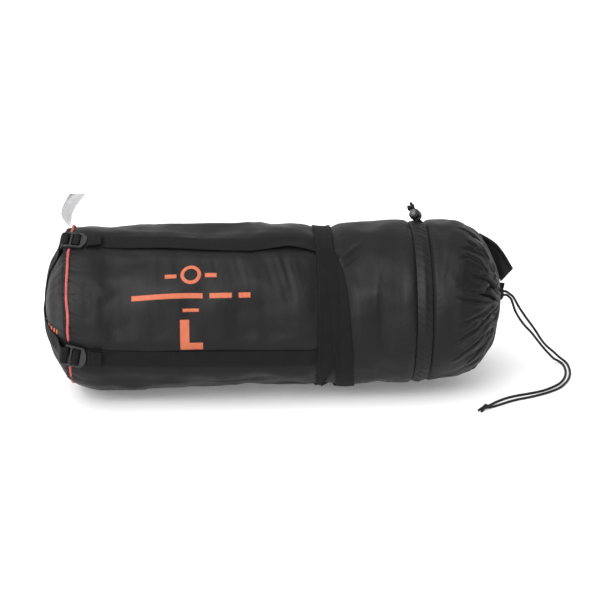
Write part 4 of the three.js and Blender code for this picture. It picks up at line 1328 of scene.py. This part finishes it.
for number, strap_angle in enumerate(STRAP_ANGLES, 1):
    ladder_lock(number)
    strap_tail(number, strap_angle)
base_webbing("base_webbing_1_3", 1, 3, 0, "base_web_1_3")
base_webbing("base_webbing_2_4", 2, 4, 1, "base_web_2_4")

# ---------------------------------------------------------------- piping, label, hem, flap

PIPING_RADIUS = 1.85 * MM
PIPING_X = -0.2858
# Where the piping lies along the sack from its nominal station: (angle, shift in millimetres).
PIPING_SHIFT = [
    (-180, 1.5), (-90, 1.3), (-50, 2), (-10, 3.2), (25, 2.0), (60, 3.2), (92, 4.6), (125, 3), (180, 1.5),
]


def piping():
    turn = np.linspace(-180, 180, 361)[:-1]
    shift = np.interp(turn, *zip(*PIPING_SHIFT)) * MM
    wobble = 0.45 * MM * noise(turn / 7, 0.0, 301, 256)
    centre = OUTLINE[0, 2]
    reach = 112.6 * MM + wobble - PRESSED["depth"] * pressed_share(turn)
    reach = reach - 3.6 * MM * (1 - ease(degrees_from_strap(turn), 7, 10))
    reach = reach - undercut(PIPING_X, turn) + crest(PIPING_X, turn)
    reach = reach + 0.33 * shift + 0.4 * MM
    angle = np.radians(turn)
    middle = np.stack([PIPING_X + shift + 0.9 * MM * noise(turn / 11, 3.0, 303), -reach * np.cos(angle),
                       centre + reach * np.sin(angle)], axis=1)
    outward = np.stack([np.zeros(len(turn)), -np.cos(angle), np.sin(angle)], axis=1)
    thick = PIPING_RADIUS * (1 + 0.06 * noise(turn / 2.3, 1.0, 305))
    rings = rings_round(middle, thick, outward, np.tile([1.0, 0, 0], (len(turn), 1)), 12)
    obj = round_mesh("piping_cord", rings, angle * RADIUS, closed=True, girth=0.01)
    return finish_piece(obj, PIPING_CORD, "base_end", ["piping"])


LABEL_WIDTH = 23 * MM
# Height above the seam, shift along the sack, and turn from the seam's direction in degrees.
LABEL_STOPS = [(0, -0.8, 12), (8, -2.2, 28), (17, -3.6, 46), (27, 0, 62), (37, 6.5, 77), (46, 13, 86)]


def care_label():
    turn = math.radians(LABEL_ANGLE)
    out = Vector((0, -math.cos(turn), math.sin(turn)))
    seam = Vector((0, math.sin(turn), math.cos(turn)))
    stops = smooth_path(np.array(LABEL_STOPS, float), 0.8)
    root = Vector((-0.2882, 0, OUTLINE[0, 2])) + out * 114.4 * MM
    path = np.array([root + out * h * MM + Vector((x * MM, 0, 0)) for h, x, _ in stops])
    across = np.array([Matrix.Rotation(math.radians(t), 3, out) @ seam for _, _, t in stops])
    run = lengths_along(path)
    normal = unit(np.cross(np.gradient(path, axis=0), across))

    def place(row, a, h):
        share = 2 * a / LABEL_WIDTH
        bend = 1.1 * MM * np.sin(share * 2.2 + run[row] / 0.012) + 1.0 * MM * share ** 2
        bend = bend * ease(run[row], 0, 0.012)
        flutter = 0.5 * MM * noise(run[row] / 0.006, share * 1.5, 311) * ease(run[row], 0.004, 0.015)
        return path[row] + across[row] * a[..., None] + normal[row] * (h + bend + flutter)[..., None]

    obj = strip("care_label_ribbon", place, run, LABEL_WIDTH, 0.45 * MM)
    finish_piece(obj, LABEL_SATIN, "label", ["care_label"])


HEM_CENTRE = 0.136
# The drawn-up hem from the collar's end inward: station, radius, and how deep its folds are, in millimetres.
HEM_ROLL = [
    (318.5, 12.6, 1.6), (321, 12.4, 2.4), (323.2, 11.2, 2.8), (324.4, 9.2, 2.6), (324.2, 6.8, 1.8),
    (323, 4.6, 0.9), (320.5, 3.6, 0.3), (317, 3.4, 0.1),
]
# The loose end of the hem's tape: station and height, in millimetres.
HEM_TAB = [(319.5, 137.5), (320.8, 142), (322, 147), (322.6, 151.2)]


def mouth_hem():
    """The hem drawn up tight by its cord: a small rosette of folds, and the loose end of its tape."""
    profile = smooth_path(np.array(HEM_ROLL, float), 0.5) * MM
    angle = np.arange(240) * 1.5
    lean = np.linspace(0, 26, len(profile))[:, None]
    folds = lobes((angle[None, :] + lean) % 360, 13, 323, 0.7) - 0.6
    reach = profile[:, 1:2] + profile[:, 2:3] * folds
    turn = np.radians(angle)[None, :]
    x = profile[:, 0:1] + 0.35 * profile[:, 2:3] * folds
    y, z = -reach * np.cos(turn), HEM_CENTRE + reach * np.sin(turn)
    points = np.stack([np.broadcast_to(x, reach.shape), y, z], axis=-1)
    obj = grid_object("mouth_hem_roll", points, np.arange(len(profile))[:, None] * 0.5 * MM, turn * 0.01,
                      wrap_columns=True)
    finish_piece(obj, HEM_NYLON, "sack", ["mouth_hem"])
    path = smooth_path(np.array([(x, -7.5, z) for x, z in HEM_TAB]) * MM, 0.5 * MM)
    across = np.tile([0.93, -0.25, -0.28], (len(path), 1))
    tab = ribbon("mouth_hem_tab", path, across, 6.2 * MM, 0.9 * MM, cup=0.8 * MM)
    finish_piece(tab, HEM_NYLON, "sack")


def mouth_cord_loop():
    """The cord inside the hem, and its two ends that come out to the free strands."""
    turn = np.radians(np.linspace(25, 335, 40))
    ring = np.stack([np.full(40, 320.8), 8.2 * np.cos(turn), 136 + 8.2 * np.sin(turn)], axis=1)
    out_a = [(322, 1.5, 137), (325.5, 0.3, 136.6)]
    out_b = [(325.5, -5.0, 132.6), (322, -3.5, 133.5)]
    path = np.vstack([STRAND_A[0], out_a[::-1], ring, out_b[::-1], STRAND_B[0]])
    obj = tube("mouth_cord_loop_inside", smooth_path(path * MM, 1 * MM), CORD_DIAMETER / 2)
    finish_cord(obj, "mouth_cord_loop")


FLAP_ROWS = 22
# Along the storm flap: its foot beside the gathers and its free edge, in millimetres.
FLAP_STOPS = [
    ((296, 39, 205), (294.5, 39, 212)), ((303.5, 39, 194), (307.5, 37, 205)),
    ((310, 37, 180), (319.5, 34, 196.5)), ((316, 33, 166), (329, 30.5, 185)),
    ((321, 28, 153), (337, 27, 172)), ((325.5, 23, 144), (342.5, 24, 162.5)),
]


def storm_flap():
    foot = smooth_path(np.array([f for f, _ in FLAP_STOPS], float) * MM, 1.2 * MM)
    edge = smooth_path(np.array([e for _, e in FLAP_STOPS], float) * MM, 0.5 * MM)
    at = np.linspace(0, 1, len(foot))
    edge = np.stack([np.interp(at, np.linspace(0, 1, len(edge)), edge[:, k]) for k in range(3)], axis=1)
    up = np.linspace(0, 1, FLAP_ROWS)[None, :, None]
    depth = unit(np.array([0.25, 0.95, 0.18]))
    width = np.linalg.norm(edge - foot, axis=1)[:, None]
    run = lengths_along(foot)[:, None]
    face = foot[:, None] * (1 - up) + edge[:, None] * up
    from_edge = (1 - up[..., 0]) * width
    hem = 1.1 * MM * hump(from_edge - 1.9 * MM, 1.8 * MM) - 0.3 * MM * hump(from_edge - 4.2 * MM, 0.6 * MM)
    wave = 0.9 * MM * noise(run / 0.02, up[..., 0] * 1.5, 331)
    wave = wave + 0.4 * MM * noise(run / 0.007, up[..., 0] * 3, 333)
    thick = 0.75 * MM + hem
    shape = face + depth * (0.7 * MM + wave)[..., None]
    front_side, back_side = shape - depth * thick[..., None], shape + depth * thick[..., None]
    loop = np.concatenate([front_side, back_side[:, ::-1]], axis=1)
    rows, columns = loop.shape[:2]
    faces = grid_faces(rows, columns, wrap_columns=True).tolist()
    for first, way in ((0, -1), ((rows - 1) * columns, 1)):
        opposite = first + columns - 1
        faces += [[first + k, first + k + 1, opposite - 1 - k, opposite - k][::way]
                  for k in range(FLAP_ROWS - 1)]
    v = np.concatenate([up[..., 0] * width, (up[..., 0] * width)[:, ::-1]], axis=1)
    obj = mesh_object("storm_flap_cloth", loop, faces, uv_grid(run, v, (rows, columns)))
    # The flap gets the darker copy of the nylon, as painted shade.
    finish_piece(obj, SHADED_NYLON, "flap", ["storm_flap"])
    seam_at = np.clip(1 - 3.6 * MM / width[:, 0], 0.3, 1)[:, None]
    seam = foot * (1 - seam_at) + edge * seam_at - depth * 0.05 * MM
    stitches("storm_flap_stitching", seam, np.tile(-depth, (len(seam), 1)), "flap",
             pitch=3 * MM, length=2.1 * MM, radius=0.26 * MM)


piping()
care_label()
mouth_hem()
mouth_cord_loop()
storm_flap()

# ---------------------------------------------------------------- cords, knots and the cord lock

def closed_cord(name, path, radius):
    """A round cord that joins up with itself, along a path that always curves."""
    tangent = unit(np.roll(path, -1, axis=0) - np.roll(path, 1, axis=0))
    side = unit(np.cross(tangent, np.roll(tangent, -1, axis=0) - tangent + 1e-9))
    rings = rings_round(path, radius, side, np.cross(tangent, side), 12)
    step = np.linalg.norm(path[1] - path[0])
    return round_mesh(name, rings, np.arange(len(path)) * step, closed=True)


def knot(name, centre, turn, size, radius):
    """A tight overhand knot: one cord that winds through itself."""
    t = np.linspace(0, TAU, 121)[:-1]
    x, y, z = np.sin(t) + 2 * np.sin(2 * t), np.cos(t) - 2 * np.cos(2 * t), -1.25 * np.sin(3 * t)
    curve = np.stack([x, y, z], axis=1) / 3
    return closed_cord(name, curve * np.array(size) @ np.array(turn.to_3x3()).T + np.array(centre), radius)


CHANNEL_CORD_RADIUS = 1.5 * MM


def channel_cord():
    """The cord that runs round the sack inside the channel."""
    points, _ = on_skin(0.200, angles_round(240), 2.2 * MM, bed=2.2 * MM)
    cord = closed_cord("channel_cord_inside", points, CHANNEL_CORD_RADIUS)
    finish_cord(cord, "channel_cord_loop")


MOUTH_KNOT = Vector((286.5, -113.5, 4.8)) * MM
KNOT_TURN = Matrix.Rotation(math.radians(48), 4, "Z")
# The two cut ends that stick out of the mouth cord's knot, in millimetres.
MOUTH_TIPS = [
    [(284.5, -114.5, 5), (280, -118.5, 4), (275.5, -121, 2.2)],
    [(285, -115.5, 4), (281.5, -121, 2.6), (279, -125, 2.0)],
]


def mouth_cords():
    radius = CORD_DIAMETER / 2
    path_a = smooth_path(np.array(STRAND_A, float) * MM, 2 * MM)
    path_b = smooth_path(np.array(STRAND_B, float) * MM, 2 * MM)
    strand_a = tube("mouth_cord_strand_a", path_a, radius)
    strand_b = tube("mouth_cord_strand_b", path_b, radius)
    tied = knot("mouth_cord_knot_tied", MOUTH_KNOT, KNOT_TURN, (4.4 * MM, 3.0 * MM, 2.4 * MM), 1.75 * MM)
    tips = [tube(f"mouth_cord_tip_{k}", smooth_path(np.array(stops) * MM, 1 * MM), radius * 0.95)
            for k, stops in enumerate(MOUTH_TIPS, 1)]
    finish_cord(strand_a, "mouth_cord_a")
    finish_cord(strand_b, "mouth_cord_b")
    finish_cord(tied, "mouth_cord_knot")
    for tip in tips:
        finish_cord(tip)


CORD_LOCK_CENTRE = np.array([198.5, 17, 246.5]) * MM
# The two cut ends beyond the cord lock's knot, in millimetres in the lock's own frame.
CHANNEL_TIPS = [
    [(-1.6, 1.0, 13.5), (-2.6, 2.4, 15.6), (-3.0, 3.6, 17.6)],
    [(1.6, 1.0, 13.5), (2.6, 1.6, 15.4), (3.2, 1.8, 16.6)],
]


def cord_lock():
    """The lock on the channel's cord: fluted barrel, plunger and spring, the two cord ends and their knot."""
    axis = -np.array(joint("lock_press")["axis"])
    through = np.array([-0.3, 0.772, 0.56])
    through = through - axis * through.dot(axis)
    through = through / np.linalg.norm(through)
    side = np.cross(axis, through)
    spot = lambda s, up, t: CORD_LOCK_CENTRE + (side * s + axis * up + through * t) * MM
    barrel = softened_copy("cord_lock_barrel_moulding", "cord_lock_barrel", 0.32 * MM, 4)
    co = vertices_of(barrel) - CORD_LOCK_CENTRE
    up = co @ axis
    out = co - up[:, None] * axis
    reach = np.linalg.norm(out, axis=1)
    around = np.arctan2(out @ side, out @ through)
    flutes = 0.28 * MM * (np.cos(around * 22) - 1) * hump(up + 3.6 * MM, 3 * MM) * (reach > 6.6 * MM)
    co = CORD_LOCK_CENTRE + co + unit(out) * flutes[:, None]
    barrel.data.vertices.foreach_set("co", co.ravel())
    barrel.data.update()
    plunger = softened_copy("cord_lock_plunger_moulding", "cord_lock_plunger", 0.3 * MM, 3)
    coil_turn = np.linspace(0, 3 * TAU, 110)
    coil = np.array([spot(3.6 * math.cos(t), -7.8 + 1.1 * t / TAU, 3.6 * math.sin(t)) for t in coil_turn])
    spring = tube("cord_lock_coil", coil, 0.4 * MM, sides=8)
    finish_piece(spring, SPRING_STEEL, "sack", ["cord_lock_spring"])
    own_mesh(spring)
    finish_piece(barrel, BARREL_PLASTIC, "sack", ["cord_lock_barrel"])
    finish_piece(plunger, PLUNGER_PLASTIC, "plunger", ["cord_lock_plunger"])
    for letter, offset, slit_x in (("a", -1.65, 0.2072), ("b", 1.65, 0.2036)):
        angle = math.radians(96.5)
        slit = np.array([slit_x, -0.1168 * math.cos(angle), 0.1207 + 0.1168 * math.sin(angle)])
        route = np.array([slit, *(spot(offset, 0, t) for t in (-11, -7, 0, 9.4))])
        cord = tube(f"channel_cord_end_{letter}", smooth_path(route, 0.8 * MM), CHANNEL_CORD_RADIUS)
        finish_cord(cord, f"channel_cord_{letter}")
    turn = Matrix(np.stack([side, axis, through], axis=1).tolist()).to_4x4()
    tied = knot("channel_cord_knot_tied", spot(0, 0, 13.0), turn, (4.2 * MM, 3.9 * MM, 3.0 * MM), 2.0 * MM)
    finish_cord(tied, "channel_cord_knot")
    for k, stops in enumerate(CHANNEL_TIPS, 1):
        path = smooth_path(np.array([spot(*p) for p in stops]), 0.6 * MM)
        tip = tube(f"channel_cord_end_tip_{k}", path, 2.0 * MM)
        finish_cord(tip, *(["channel_cord_tip"] if k == 1 else []))


mouth_cords()
channel_cord()
cord_lock()

# ---------------------------------------------------------------- stage

def camera():
    data = bpy.data.cameras.new("camera")
    data.sensor_width = 36
    data.lens = 36 * VIEW_DISTANCE / FIELD_WIDTH
    data.clip_end = 50
    eye = bpy.data.objects.new("camera", data)
    level = math.cos(VIEW_ELEVATION)
    back = Vector((-math.sin(VIEW_YAW) * level, -math.cos(VIEW_YAW) * level, math.sin(VIEW_ELEVATION)))
    eye.location = VIEW_TARGET + VIEW_DISTANCE * back
    eye.rotation_euler = (-back).to_track_quat("-Z", "Y").to_euler()
    bpy.context.scene.collection.objects.link(eye)
    bpy.context.scene.camera = eye


def floor():
    half = 40.0
    ground = mesh_object("floor", [(-half, -half, 0), (half, -half, 0), (half, half, 0), (-half, half, 0)],
                         [(0, 1, 2, 3)], smooth=False)
    n = Nodes("pale_floor", (0.80, 0.80, 0.805), 0.9, Specular_IOR_Level=0.1, Emission_Color=(1, 1, 1, 1),
              Emission_Strength=0.15)
    ground.data.materials.append(n.material)


def studio():
    """A pale room that is bright above and behind, and darker low in front."""
    sky = bpy.data.worlds.new("studio")
    sky.use_nodes = True
    tree = sky.node_tree
    way = tree.nodes.new("ShaderNodeSeparateXYZ")
    tree.links.new(tree.nodes.new("ShaderNodeTexCoord").outputs["Generated"], way.inputs[0])
    brightness = []
    for axis, low, high, dark, light in (("Z", 0.05, 0.75, 0.08, 0.85), ("Y", -0.2, 0.45, 0.0, 0.85)):
        node = tree.nodes.new("ShaderNodeMapRange")
        node.interpolation_type = "SMOOTHSTEP"
        for socket, value in zip(("From Min", "From Max", "To Min", "To Max"), (low, high, dark, light)):
            node.inputs[socket].default_value = value
        tree.links.new(way.outputs[axis], node.inputs["Value"])
        brightness.append(node.outputs["Result"])
    most = tree.nodes.new("ShaderNodeMath")
    most.operation = "MAXIMUM"
    tree.links.new(brightness[0], most.inputs[0])
    tree.links.new(brightness[1], most.inputs[1])
    background = tree.nodes["Background"]
    background.inputs["Color"].default_value = (1, 1, 1, 1)
    tree.links.new(most.outputs[0], background.inputs["Strength"])
    bpy.context.scene.world = sky


def soft_sun(name, place, strength, spread):
    data = bpy.data.lights.new(name, "SUN")
    data.energy = strength
    data.angle = math.radians(spread)
    light = bpy.data.objects.new(name, data)
    light.rotation_euler = (-Vector(place)).to_track_quat("-Z", "Y").to_euler()
    bpy.context.scene.collection.objects.link(light)


camera()
floor()
studio()
soft_sun("key", (-0.50, -0.55, 1.0), 2.0, 60)
soft_sun("front_fill", (-0.45, -1.0, 0.55), 2.5, 50)
bpy.context.scene.view_settings.view_transform = "Standard"
